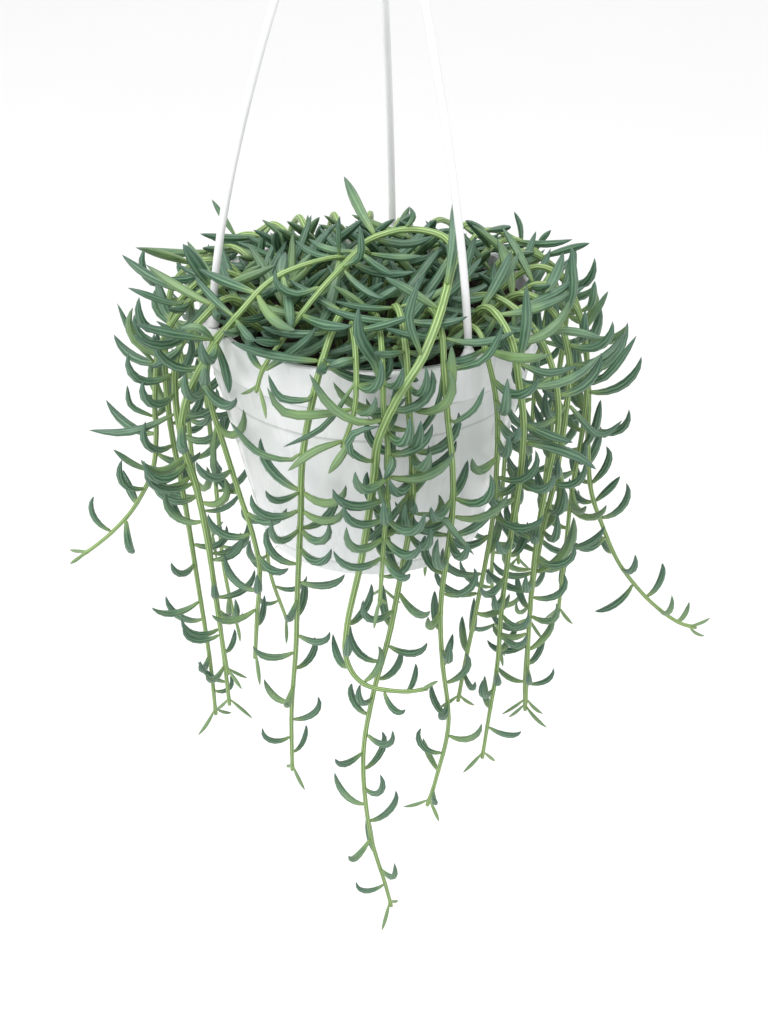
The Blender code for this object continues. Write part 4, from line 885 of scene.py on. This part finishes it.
def ease_apart(stems):
    """Bends the routes clear of each other, the pot and the hanger's arms."""
    places = np.vstack([route for _, _, route in stems])
    sizes = np.concatenate([thickness(*stem) * CORNER_OF_ROUND for stem in stems])
    owner = np.concatenate([np.full(len(route), k) for k, (_, _, route) in enumerate(stems)])
    starts = np.concatenate([[0], np.cumsum([len(route) for _, _, route in stems])])
    held = np.zeros(len(places), bool)
    for start in starts[:-1]:
        held[start:start + HELD_BEADS] = True
    arms = arm_beads()
    arm_tree = KDTree(len(arms))
    for k, bead in enumerate(arms):
        arm_tree.insert(bead[:3], k)
    arm_tree.balance()
    for _ in range(EASE_TURNS):
        tree = KDTree(len(places))
        for k, place in enumerate(places):
            tree.insert(place, k)
        tree.balance()
        push = np.zeros_like(places)
        for k, place in enumerate(places):
            for other, at, far in tree.find_range(place, STEM_SEARCH):
                need = sizes[k] + sizes[at] + STEM_APART
                if owner[at] != owner[k] and far < need:
                    push[k] += unit(place - np.array(other)) * (need - far) * EASE_STEM
            for other, at, far in arm_tree.find_range(place, ARM_SEARCH):
                need = sizes[k] + arms[at][3] + STEM_APART
                if far < need:
                    way = unit((place - np.array(other)) * (1, 1, ARM_LIFT))
                    push[k] += way * (need - far) * EASE_STEM
        room = pot_room(places) - sizes - POT_APART
        radial = places * (1, 1, 0)
        radial /= np.maximum(np.linalg.norm(radial, axis=1), 1e-6)[:, None]
        over = np.hypot(places[:, 0], places[:, 1]) < OVER_POT_R
        lift = np.where(over[:, None], UP, radial)
        push += lift * np.maximum(-room, 0)[:, None] * EASE_POT
        push[held] = 0
        for start, end in zip(starts, starts[1:]):
            part = push[start:end]
            for _ in range(EASE_SMOOTH):
                part[1:-1] = 0.25 * part[:-2] + 0.5 * part[1:-1] + 0.25 * part[2:]
            part[:HELD_BEADS] = 0
        places = places + push
    return [(name, size, places[starts[k]:starts[k + 1]])
            for k, (name, size, _) in enumerate(stems)]


stems = ease_apart(stems)
print("routes eased apart")

# %% [markdown]
# A leaf sets off sideways from its stem and curls up towards the light, which makes the hook:
# a hanging stem's leaves have to turn by a right angle or more. In the mound the leaves are
# longer, fatter and straighter, and at a stem's tip they are small and point forward. Each leaf
# is turned round its stem until it is clear of all that grew before it.
#
# The rows of the next cell weren't written by hand: a scratch script, which isn't part of this
# lesson, worked them out. It was given each leaf's width and course, picked by eye in the
# picture, and a guess at its depth. Each leaf's foot was taken from the nearest place on a
# stem, and the rest was rounded to whole degrees and millimetres.

# %% Leaves read off the picture
BARE_STRETCHES = {1: (0, -56), 2: (36, -122), 5: (2, -52), 6: (4, -50)}

# Each row is a leaf's width and then its places from foot to tip, as azimuth, radius and height
CHOSEN_LEAVES = (
    (5.3, (85, 23, 39), (112, 12, 47), (221, 16, 55)),
    (5.6, (62, 70, 32), (56, 64, 49), (48, 54, 65)),
    (7.2, (164, 65, 4), (167, 76, 16), (168, 86, 34)),
    (3.6, (221, 87, 5), (219, 100, 23)),
    (4.0, (162, 87, 9), (164, 95, 9), (166, 113, 17)),
    (4.0, (163, 74, 14), (165, 85, 17), (166, 89, 22)),
    (3.8, (165, 102, -22), (166, 112, -8), (167, 118, 9)),
    (4.3, (138, 92, 7), (139, 99, 15), (142, 106, 15)),
    (5.7, (155, 93, -4), (155, 97, -9), (157, 108, -16)),
    (2.7, (155, 93, -4), (157, 99, 2), (158, 104, 6)),
    (3.8, (220, 51, 9), (216, 55, 19), (212, 61, 25)),
    (3.6, (242, 60, 1), (240, 61, 11), (240, 61, 19)),
    (3.2, (110, 41, 37), (110, 41, 51), (109, 41, 56)),
    (4.8, (208, 63, 3), (209, 60, 11), (210, 59, 21)),
    (3.8, (220, 49, 8), (212, 60, 13), (208, 68, 17)),
    (3.7, (204, 47, 11), (199, 59, 16), (197, 66, 19)),
    (4.0, (204, 47, 11), (199, 59, 12), (196, 68, 12)),
    (4.6, (110, 63, 31), (117, 71, 30), (122, 76, 35), (123, 75, 42)),
    (4.4, (105, 50, 36), (95, 52, 43), (95, 52, 57)),
    (4.2, (151, 17, 6), (98, 10, 4), (47, 14, 6)),
    (5.0, (348, 35, 10), (342, 18, 9), (310, 6, 15), (253, 5, 22)),
    (4.9, (261, 37, 10), (289, 37, 12), (307, 42, 11), (318, 50, 16)),
    (4.5, (68, 81, 28), (78, 80, 38), (86, 79, 45)),
    (5.0, (77, 98, 16), (81, 100, 35), (80, 102, 46), (79, 102, 54)),
    (6.2, (80, 91, 0), (89, 93, 12), (93, 97, 27), (93, 97, 40)),
    (4.3, (94, 91, 13), (97, 95, 13), (101, 97, 11)),
    (4.9, (121, 90, 1), (112, 85, 12), (108, 84, 18), (106, 84, 23)),
    (4.3, (70, 91, 4), (62, 100, 10), (59, 103, 19), (58, 105, 28)),
    (3.6, (70, 97, -16), (69, 101, -16), (65, 105, -9), (63, 106, 1)),
    (5.4, (50, 98, 2), (50, 103, 22), (50, 102, 41)),
    (5.1, (50, 100, -9), (45, 112, -6), (42, 121, 0), (39, 128, 10)),
    (4.4, (50, 98, 2), (44, 107, -3), (40, 118, 1)),
    (4.7, (36, 90, 6), (31, 103, 7), (27, 116, 3)),
    (5.3, (24, 93, 3), (23, 98, 19), (23, 97, 32), (23, 96, 42)),
    (4.6, (317, 64, 4), (325, 76, 5), (331, 91, 7)),
    (3.5, (332, 91, 4), (332, 94, 9), (334, 97, 15)),
    (3.6, (319, 98, -3), (319, 98, 8), (318, 95, 16)),
    (3.7, (340, 61, 3), (344, 75, 5), (347, 92, 3)),
    (4.7, (2, 98, -7), (2, 103, -3), (2, 104, 9)),
    (3.4, (10, 100, -10), (9, 106, 1), (9, 110, 10)),
    (3.5, (270, 100, -4), (271, 100, 6)),
    (3.6, (280, 64, 6), (284, 65, 12), (287, 66, 19)),
    (3.3, (54, 27, 42), (49, 29, 48), (51, 28, 53)),
    (4.3, (106, 91, -5), (107, 95, -7), (113, 99, -6), (115, 100, 0), (116, 100, 5)),
    (5.2, (94, 101, -6), (103, 109, -6), (109, 115, -3), (112, 116, 8)),
    (5.2, (87, 106, -9), (93, 109, -8), (99, 112, 1), (103, 114, 16)),
    (4.0, (110, 89, -37), (113, 94, -39), (120, 101, -34), (125, 107, -19)),
    (3.5, (94, 101, -6), (101, 106, -13), (110, 112, -23)),
    (4.3, (96, 103, -21), (103, 108, -24), (109, 111, -34)),
    (4.3, (96, 103, -21), (96, 106, -23), (100, 107, -35)),
    (4.1, (86, 103, -28), (92, 107, -27), (95, 109, -21), (94, 109, -13), (88, 106, -11)),
    (5.0, (70, 97, -16), (70, 100, 3), (70, 99, 20)),
    (3.5, (70, 91, 4), (72, 92, -12), (79, 89, -32)),
    (3.4, (79, 92, -53), (75, 96, -41), (75, 96, -28)),
    (4.5, (86, 103, -28), (85, 105, -30), (87, 105, -38)),
    (2.8, (89, 101, -40), (88, 103, -45), (87, 103, -53)),
    (4.5, (79, 92, -53), (86, 94, -68), (92, 95, -78)),
    (3.7, (79, 92, -53), (72, 99, -64), (68, 102, -74), (64, 105, -84)),
    (4.8, (22, 98, -28), (21, 113, -23), (19, 121, -12), (18, 126, -2)),
    (4.6, (22, 97, -39), (19, 110, -54), (18, 117, -53), (17, 122, -47)),
    (5.0, (360, 108, -102), (360, 115, -94), (360, 117, -86), (360, 115, -81)),
    (4.7, (360, 108, -102), (360, 119, -104), (360, 123, -98)),
    (5.3, (10, 101, -74), (10, 108, -61), (11, 110, -44)),
    (4.9, (47, 99, -29), (43, 109, -34), (40, 117, -37)),
    (5.7, (46, 98, -40), (42, 108, -41), (38, 118, -46), (36, 125, -52)),
    (5.7, (23, 95, -70), (24, 98, -88), (26, 94, -100), (28, 87, -106)),
    (6.6, (34, 93, -121), (31, 104, -112), (30, 109, -99), (30, 109, -88)),
    (4.8, (160, 96, -44), (163, 110, -52), (164, 122, -54), (166, 136, -53)),
    (5.7, (166, 98, -44), (167, 105, -43), (168, 112, -35)),
    (3.6, (169, 104, -53), (170, 115, -47), (170, 116, -36)),
    (4.0, (147, 89, -22), (148, 97, -27), (151, 104, -21)),
    (3.7, (171, 107, -85), (172, 117, -80), (172, 125, -72)),
    (4.0, (145, 86, -42), (146, 88, -58), (146, 87, -76)),
)

# The nodes tried for such a leaf, and how far it may slip along the line of sight
CHOSEN_NODES = 3
CHOSEN_SHIFTS = (0, -2, 2, -4, 4, -7, 7, -10, 10, 14)
LINE_OF_SIGHT = np.array([0.0, 0.909, -0.417])

print(len(CHOSEN_LEAVES), "leaves read off the picture")

# %% [markdown]
# The other leaves are drawn by rule. The numbers are millimetres and degrees: how long and wide a
# leaf is, how far it leans along its stem, how far it curls up, and how high it may stand above
# the mound, which is lower towards the rim and at the back.

# %% The rules of a leaf
LEAF_SEED = 7
LEAF_CLEAR = 0.9
WALL_CLEAR = 0.54
LEAF_SPAN = 34.0
LEAF_TRIES = 24
TRY_SHRINK = 0.012
TRY_TURN = 2.4
LEAF_BEADS = 9
ROOT_BEADS = 3
PAIR_SPREAD = 0.2
LEAF_LENGTH = {"crown": (31.0, 44.0), "trail": (22.0, 29.0), "tip": (10.0, 16.0)}
LEAF_WIDTH = {"crown": 5.7, "trail": 4.3, "tip": 2.2}
LEAF_LEAN = {"crown": (-10, 28), "trail": (8, 35), "tip": (42, 60)}
LEAF_BEND = {"crown": (35, 100), "trail": (80, 150), "tip": (5, 35)}
LEAF_SWAY = 28
LEAF_MOST_RISE = {"crown": 50, "trail": 125, "tip": 95}
RISE_LOST_AT_RIM = 16
RISE_LOST_AT_BACK = 14
FULL_RISE_BELOW = 12
CROWN_TOP = 40
CROWN_SHOULDER_R = 42
CROWN_FALL = 0.22
CROWN_BACK_FALL = 0.36
LEAF_LEAST_BEND = -30
THICK_OF_WIDTH = 0.85
CROWN_NODES = (0.3, 0.48, 0.66, 0.83, 1.0)
MOUND_R = 88
MOUND_SPACING = 14.0
TRAIL_SPACING = 10.5
NODE_TURN = 2.4
SOLID_EVERY = {"crown": 2, "trail": 3}
LEAF_CORNER = 1.18
LEAF_SUNK = 0.8

print("leaves of %.0f to %.0f mm in the mound" % LEAF_LENGTH["crown"])

# %% A leaf's course and size
def on_route(route, at):
    low = min(int(at), len(route) - 2)
    return route[low] + (route[low + 1] - route[low]) * (at - low)


def even_beads(points):
    """A leaf's beads, evenly spaced on a smooth curve through a few points."""
    dense = smooth_route(points, step=0.5)
    return np.array([on_route(dense, spot) for spot in np.linspace(0, len(dense) - 1, LEAF_BEADS)])


def leaf_hinge(path):
    """The axis that a leaf bends about, or a level one across it where it is nearly straight."""
    start, end = unit(path[2] - path[0]), unit(path[-1] - path[-3])
    hinge = np.cross(start, end)
    if np.linalg.norm(hinge) < 0.15:
        hinge = np.cross(start, UP) + 1e-3
    return unit(hinge)


def leaf_path(start, heading, bend, length, sway):
    """Beads along a leaf that sets off along its heading and curls up towards the light."""
    hinge = np.cross(heading, UP)
    if np.linalg.norm(hinge) < 0.15:
        hinge = np.cross(heading, unit(start * (1, 1, 0) + 1e-6))
    hinge = unit(hinge)
    places = [start]
    step = length / (LEAF_BEADS - 1)
    for k in range(LEAF_BEADS - 1):
        share = (k + 0.5) / (LEAF_BEADS - 1)
        way = turned(heading, hinge, bend * share**1.15)
        way = turned(way, UP, sway * share)
        places.append(places[-1] + way * step)
    return np.array(places), hinge


def leaf_width(share):
    """A leaf's width along its length, as a share of its greatest width."""
    return np.interp(share, (0, 0.12, 0.32, 0.58, 0.78, 0.92, 1), (0.45, 0.56, 0.82, 1, 0.88, 0.5, 0.1))


def leaf_nodes(stems):
    """The nodes where leaves may grow, as (stem, place on it, rank along it, kind)."""
    nodes = []
    for k, (name, _, route) in enumerate(stems):
        last = len(route) - 2.0
        if name.startswith("crown"):
            nodes += [(k, 4 + (last - 4) * share, rank, "crown") for rank, share in enumerate(CROWN_NODES)]
            continue
        at, rank = 5.0, 0
        while at < last - 2.0:
            place = route[int(at)]
            mound = math.hypot(place[0], place[1]) < MOUND_R and place[2] > -6
            nodes.append((k, at, rank, "crown" if mound else "trail"))
            at += (MOUND_SPACING if mound else TRAIL_SPACING) / ROUTE_STEP
            rank += 1
        nodes.append((k, last, rank, "tip"))
    return nodes


def leaf_size(rng, kind, from_tip, drop):
    """A leaf's length and width: long near the crown, shorter and slimmer towards a stem's tip."""
    length = rng.uniform(*LEAF_LENGTH[kind])
    size = 1.0
    if kind == "trail":
        size = min(1.0, 0.6 + from_tip / 90) * np.interp(drop, (0, 60, 130, 200), (1.35, 1.22, 1.0, 0.92))
    return length * size, LEAF_WIDTH[kind] * size**0.9


def over_crown(path):
    """How far a leaf stands out of the crown's dome, which is lower on the far side."""
    from_axis = np.hypot(path[:, 0], path[:, 1])
    dome = CROWN_TOP - CROWN_FALL * np.maximum(from_axis - CROWN_SHOULDER_R, 0)
    dome -= CROWN_BACK_FALL * np.maximum(path[:, 1], 0)
    return (path[:, 2] - dome).max()


print("a leaf is laid out as", LEAF_BEADS, "beads")

# %% [markdown]
# A leaf is tried on its node, as a row of beads, and measured against everything that is already
# there. If it comes too near, it is turned round its stem, shortened a little and tried again.

# %% Growing leaves clear of each other
class Growth:
    """The plant's leaves as they grow, each clear of the stems and of the leaves before it."""

    def __init__(self, stems):
        self.stems = stems
        self.radii = [thickness(*stem) for stem in stems]
        self.nodes = leaf_nodes(stems)
        self.rng = np.random.default_rng(LEAF_SEED)
        self.leaves = []
        self.taken = {}
        arms = arm_beads()
        beads = [np.column_stack([arms, np.full(len(arms), -1)])]
        for k, (_, _, route) in enumerate(stems):
            beads.append(np.column_stack([route, self.radii[k] * CORNER_OF_ROUND, np.full(len(route), k)]))
        self.pool = np.vstack(beads)

    def spot(self, node):
        """The node's place, and the way its stem runs there."""
        k, at, _, _ = self.nodes[node]
        route = self.stems[k][2]
        return on_route(route, at), unit(on_route(route, at + 1) - on_route(route, at - 1))

    def room(self, node, path, width):
        """The least distance from a leaf to the pot and to all that it doesn't grow from."""
        own = leaf_width(np.linspace(0, 1, LEAF_BEADS)) * width / 2 * LEAF_CORNER
        near = self.pool[np.abs(self.pool[:, :3] - path.mean(axis=0)).max(axis=1) < LEAF_SPAN]
        far = np.linalg.norm(path[:, None] - near[None, :, :3], axis=2) - own[:, None] - near[None, :, 3]
        at_home = (near[:, 4] == self.nodes[node][0]) | (near[:, 4] == len(self.stems) + node)
        far[:ROOT_BEADS, at_home] = LEAF_SPAN
        wall = (pot_room(path[1:]) - own[1:]).min()
        return min(far.min(), wall + LEAF_CLEAR - WALL_CLEAR)

    def side_is_free(self, node, out):
        """Whether no leaf of the node grows on nearly the same side of the stem."""
        return all(np.dot(out, other) < PAIR_SPREAD for other in self.taken.get(node, []))

    def keep(self, node, path, hinge, out, width, solid):
        """Takes a leaf in and marks the room it fills."""
        k, at, _, kind = self.nodes[node]
        self.leaves.append({"stem": k, "at": at, "kind": kind, "solid": solid, "path": path,
                            "hinge": hinge, "out": out, "width": width})
        self.taken.setdefault(node, []).append(out)
        own = leaf_width(np.linspace(0, 1, LEAF_BEADS)) * width / 2 * LEAF_CORNER
        owner = np.full(LEAF_BEADS, len(self.stems) + node)
        self.pool = np.vstack([self.pool, np.column_stack([path, own, owner])])

    def place(self, width, points):
        """A leaf read off the picture, on a free node near its foot, eased along the line of sight."""
        spots = np.array([self.spot(node)[0] for node in range(len(self.nodes))])
        ranked = np.argsort(np.linalg.norm(spots - points[0], axis=1), kind="stable")
        for node in ranked[:CHOSEN_NODES]:
            spot, along = self.spot(node)
            stem_r = self.radii[self.nodes[node][0]][int(self.nodes[node][1])]
            for shift in CHOSEN_SHIFTS:
                rest = [point + LINE_OF_SIGHT * shift * (k + 1) / len(points)
                        for k, point in enumerate(points[1:])]
                out = unit(rest[0] - spot - along * np.dot(rest[0] - spot, along))
                path = even_beads([spot + out * stem_r * LEAF_SUNK] + rest)
                if self.side_is_free(node, out) and self.room(node, path, width) > LEAF_CLEAR:
                    self.keep(node, path, leaf_hinge(path), out, width, True)
                    return True
        return False

    def sprout(self, node, turn, clear, solid):
        """A leaf placed by rule, turned round its stem until it has room."""
        k, at, _, kind = self.nodes[node]
        spot, along = self.spot(node)
        route = self.stems[k][2]
        side = unit(np.cross(along, UP if abs(along[2]) < 0.9 else np.array([1.0, 0, 0])))
        length, width = leaf_size(self.rng, kind, (len(route) - at) * ROUTE_STEP, -spot[2])
        most_rise = LEAF_MOST_RISE[kind]
        if kind == "crown":
            most_rise -= RISE_LOST_AT_RIM * min(1.3, math.hypot(spot[0], spot[1]) / (RIM_R / MM))
            most_rise -= RISE_LOST_AT_BACK * max(0.0, spot[1] / (RIM_R / MM))
            most_rise -= max(0.0, spot[2] - FULL_RISE_BELOW)
        for attempt in range(LEAF_TRIES):
            way_round = 1 if attempt % 2 else -1
            out = turned(side, along, turn + attempt * TRY_TURN * way_round + self.rng.uniform(-0.5, 0.5))
            lean = math.radians(self.rng.uniform(*LEAF_LEAN[kind]))
            bend = self.rng.uniform(*LEAF_BEND[kind])
            sway = math.radians(self.rng.uniform(-LEAF_SWAY, LEAF_SWAY))
            if not self.side_is_free(node, out):
                continue
            heading = unit(out * math.cos(lean) + along * math.sin(lean))
            rise = math.degrees(math.asin(np.clip(heading[2], -1, 1)))
            bend = math.radians(max(min(bend, most_rise - rise), LEAF_LEAST_BEND))
            shrink = 1 - TRY_SHRINK * attempt
            start = spot + out * self.radii[k][int(at)] * LEAF_SUNK
            path, hinge = leaf_path(start, heading, bend, length * shrink, sway)
            if over_crown(path) < 0 and self.room(node, path, width * shrink) > clear:
                self.keep(node, path, hinge, out, width * shrink, solid)
                return


print("leaves can grow")

# %% [markdown]
# The main leaves come first: those read off the picture that find room, and then the ones drawn
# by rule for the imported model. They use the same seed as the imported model, so each stands where
# its solid does.

# %% Main leaves
def is_bare(stems, node):
    """Whether a node lies on a stretch of stem that has dropped its leaves."""
    k, at, _, kind = node
    high, low = BARE_STRETCHES.get(k + 1, (0, 0))
    return kind != "tip" and low < on_route(stems[k][2], at)[2] < high


def is_solid(node):
    """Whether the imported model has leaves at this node: at every tip, and at some in between."""
    _, _, rank, kind = node
    return kind == "tip" or rank % SOLID_EVERY[kind] == 0


def grow_main_leaves(stems):
    """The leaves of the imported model: first the chosen ones, then a pair or one at each node."""
    growth = Growth(stems)
    for width, *points in CHOSEN_LEAVES:
        growth.place(width, [polar(*point) for point in points])
    order = growth.rng.permutation(len(growth.nodes))
    for node in order:
        if is_solid(growth.nodes[node]) and not is_bare(stems, growth.nodes[node]):
            _, _, rank, kind = growth.nodes[node]
            for side in range(1 if kind == "trail" else 2):
                growth.sprout(node, NODE_TURN * rank + math.pi * side, LEAF_CLEAR, True)
    return growth


growth = grow_main_leaves(stems)
print(len(growth.leaves), "leaves as in the packed model")

# %% [markdown]
# Finer leaves then fill in between them. Real ones press against each other. These may run about
# half a millimetre into a neighbour or the pot, which lets them stand as densely. The mound gets
# most of them, and so do the stems in the middle of the front, while the stems on the left get
# fewer. A gap is kept open in front of the bark chip.

# %% The rest of the leaves
FINE_CLEAR = -0.5
MOUND_MORE = 3
FRONT_MORE = 2
FRONT_FROM = (-38, -120, -82)
FRONT_TO = (45, -60, 10)
LEFT_OF = -60
LEFT_BARE = 0.4
GAP_BEADS = 13
GAP_SPACING = 5
GAP_R = 5.5

chip_place = (np.array(chip_spot) - (0, 0, RIM_Z)) / MM
towards_eye = -LINE_OF_SIGHT * GAP_SPACING
gap_beads = [(*(chip_place + towards_eye * (k + 1)), GAP_R, -1) for k in range(GAP_BEADS)]
growth.pool = np.vstack([growth.pool, gap_beads])
for node in growth.rng.permutation(len(growth.nodes)):
    _, _, rank, kind = growth.nodes[node]
    if is_bare(stems, growth.nodes[node]):
        continue
    spot, _ = growth.spot(node)
    turn = NODE_TURN * rank
    front = kind == "trail" and np.all(spot > FRONT_FROM) and np.all(spot < FRONT_TO)
    thin = kind == "trail" and spot[0] < LEFT_OF and growth.rng.random() < LEFT_BARE
    if not is_solid(growth.nodes[node]) and not thin:
        for side in range(1 if kind == "trail" else 2):
            growth.sprout(node, turn + math.pi * side, FINE_CLEAR, False)
    for side in range(MOUND_MORE if kind == "crown" else FRONT_MORE * front):
        growth.sprout(node, turn + math.pi * (side + 0.5), FINE_CLEAR, False)
print(len(growth.leaves), "leaves on", len(stems), "stems")

# %% [markdown]
# ## The green of the plant
#
# The skin is thick and waxy. Under it run long translucent windows, which show as dark and pale
# lines down each leaf. The leaf's foot is yellow-green, its middle blue-green under a grey
# bloom, its tip dark. Stems are a brighter, yellower green with fine ridges. Three numbers that
# the mesh carries tell the material whether it paints a leaf or a stem, whether the leaf is a
# young one, and how it differs from the next.

# %% Leaf and stem finish
LEAF_LINES = 7
STEM_LINES = 7

green = Finish("succulent_green", Coat_Weight=0.08, Coat_Roughness=0.35)
strand = green.node("SeparateXYZ", {}, {0: green.node("UVMap", {"uv_map": STRAND}, {}).wire("UV")})
around = strand.wire("X") * (2 * math.pi)
along = strand.wire("Y")
tint = green.mark("tint")
leafy = green.mark("leafy")
young = green.mark("young")
blotch = green.noise(120.0, detail=2.0)
speck = green.noise(1400.0, detail=2.0)

wobble = 2.4 * blotch
lines = (around * LEAF_LINES + wobble + 6.0 * tint).wave()
window = (around - math.pi / 2).wave().step(0.55, 0.95)
pale_line = lines.step(-0.8, 1.2)
body = green.mix(pale_line, (0.030, 0.086, 0.044), (0.118, 0.232, 0.126))
body = green.mix(0.35 * window, body, (0.024, 0.070, 0.042))
bloom = (blotch * 0.7 + tint * 0.5).step(0.35, 0.95)
body = green.mix(0.38 * bloom, body, (0.165, 0.280, 0.195))
warm = (tint * 1.0 + blotch * 0.4).step(0.85, 1.25)
body = green.mix(0.6 * warm, body, (0.200, 0.310, 0.085))
body = green.mix(0.55 * along.step(0.45, 1.0), body, (0.028, 0.072, 0.058))
foot = 1.0 - along.step(0.0, 0.42)
body = green.mix(0.85 * foot, body, green.mix(pale_line, (0.180, 0.285, 0.080), (0.300, 0.415, 0.145)))
tip = along.step(0.90, 1.0)
body = green.mix(0.7 * tip, body, (0.030, 0.050, 0.045))

ridges = (around * STEM_LINES + 1.6 * blotch).wave()
stem = green.mix(ridges.step(-0.4, 0.9), (0.120, 0.215, 0.060), (0.345, 0.470, 0.185))
stem = green.mix(0.5 * blotch.step(0.45, 0.75), stem, (0.160, 0.280, 0.100))
green.set("Base Color", green.mix(leafy, stem, green.mix(0.35 * young, body, (0.300, 0.430, 0.150))))
green.set("Roughness", 0.38 + 0.16 * blotch + 0.08 * speck)
green.bump(0.6 * (leafy * lines + (1.0 - leafy) * ridges) + 0.35 * speck, 0.35, 0.0004)
print("one finish for leaves and stems")

# %% [markdown]
# ## Stems with their leaves
#
# A stem is one long rolled tube. It thins towards its tip and swells a little where a leaf sits,
# and it starts below the soil. Each leaf is a short roll of a few dozen faces: a narrow foot, the
# widest place past its middle, and a pointed end. All of them go into one mesh per stem, as the
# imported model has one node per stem.

# %% Grow the stems and leaves
ROOT_DEPTH = 0.0115
SIDES = 8
RING_STEP = 1.5
LEAF_RINGS = np.array([0.0, 0.03, 0.12, 0.25, 0.40, 0.55, 0.69, 0.82, 0.93, 1.0])
FINE_WIDTH = np.array([0.0, 0.42, 0.58, 0.77, 0.90, 0.94, 0.86, 0.63, 0.32, 0.0])
SWELLING = 0.16
SWELLING_LENGTH = 1.3
STEM_END = 0.8
TINT_SEED = 3


def in_row(places):
    """Places of the plan, in metres from the hook."""
    return np.asarray(places) * MM + (0, 0, RIM_Z)


def put_leaf(bm, roll, leaf, tint):
    dense = smooth_route(list(leaf["path"]), step=0.8)
    spots = LEAF_RINGS * (len(dense) - 1)
    centres = np.array([on_route(dense, spot) for spot in spots])
    ahead = np.array([on_route(dense, min(spot + 0.5, len(dense) - 1)) for spot in spots])
    behind = np.array([on_route(dense, max(spot - 0.5, 0)) for spot in spots])
    ways = ahead - behind
    ways /= np.linalg.norm(ways, axis=1)[:, None]
    across = leaf["hinge"] - ways * (ways @ leaf["hinge"])[:, None]
    across /= np.linalg.norm(across, axis=1)[:, None]
    half = FINE_WIDTH * leaf["width"] / 2 * MM
    young = {"crown": 0.0, "trail": 0.0, "tip": 1.0}[leaf["kind"]]
    roll.put(bm, in_row(centres), across, np.cross(across, ways), half, half * THICK_OF_WIDTH,
             tint=tint, leafy=1.0, young=young)


def put_stem(bm, route, sizes, borne, tint):
    length = (len(route) - 1) * ROUTE_STEP
    marks = np.linspace(0, len(route) - 1, max(4, int(length / RING_STEP)))
    centres = np.array([on_route(route, mark) for mark in marks])
    half = np.interp(marks, range(len(sizes)), sizes)
    for leaf in borne:
        half *= 1 + SWELLING * np.exp(-((marks - leaf["at"]) * ROUTE_STEP / SWELLING_LENGTH) ** 2) / 2
    root = route[0] - UP * (ROOT_DEPTH / MM)
    end = centres[-1] + unit(centres[-1] - centres[-2]) * STEM_END
    centres = np.vstack([[root, root + UP * 0.3], centres, [end]])
    half = np.concatenate([[0.0, sizes[0]], half, [0.0]])
    across, up = carried_axes(centres, np.array([1.0, 0, 0]))
    Roll(len(centres), SIDES).put(bm, in_row(centres), across, up, half * MM, half * MM,
                                  tint=tint, leafy=0.0, young=0.0)


leaf_roll = Roll(len(LEAF_RINGS), SIDES)
draw = np.random.default_rng(TINT_SEED)
triangles = 0
for k, (name, _, route) in enumerate(stems):
    own = [leaf for leaf in growth.leaves if leaf["stem"] == k]
    bm = bmesh.new()
    put_stem(bm, route, growth.radii[k], own, draw.random())
    for leaf in own:
        put_leaf(bm, leaf_roll, leaf, draw.random())
    close_seams(bm)
    thing = add_piece("leafy_" + name, bm, green, "succulent_green", name)
    thing.data.calc_loop_triangles()
    triangles += len(thing.data.loop_triangles)
print(triangles, "triangles in the plant")

# %% [markdown]
# ## Size
#
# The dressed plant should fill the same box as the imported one, give or take a leaf tip.

# %% Compare the sizes
new_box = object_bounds()
for axis, cad_low, cad_high, low, high in zip("xyz", *cad_box, *new_box):
    print("%s %7.1f to %7.1f mm" % (axis, low / MM, high / MM), end=", ")
    print("packed %7.1f to %7.1f" % (cad_low / MM, cad_high / MM))
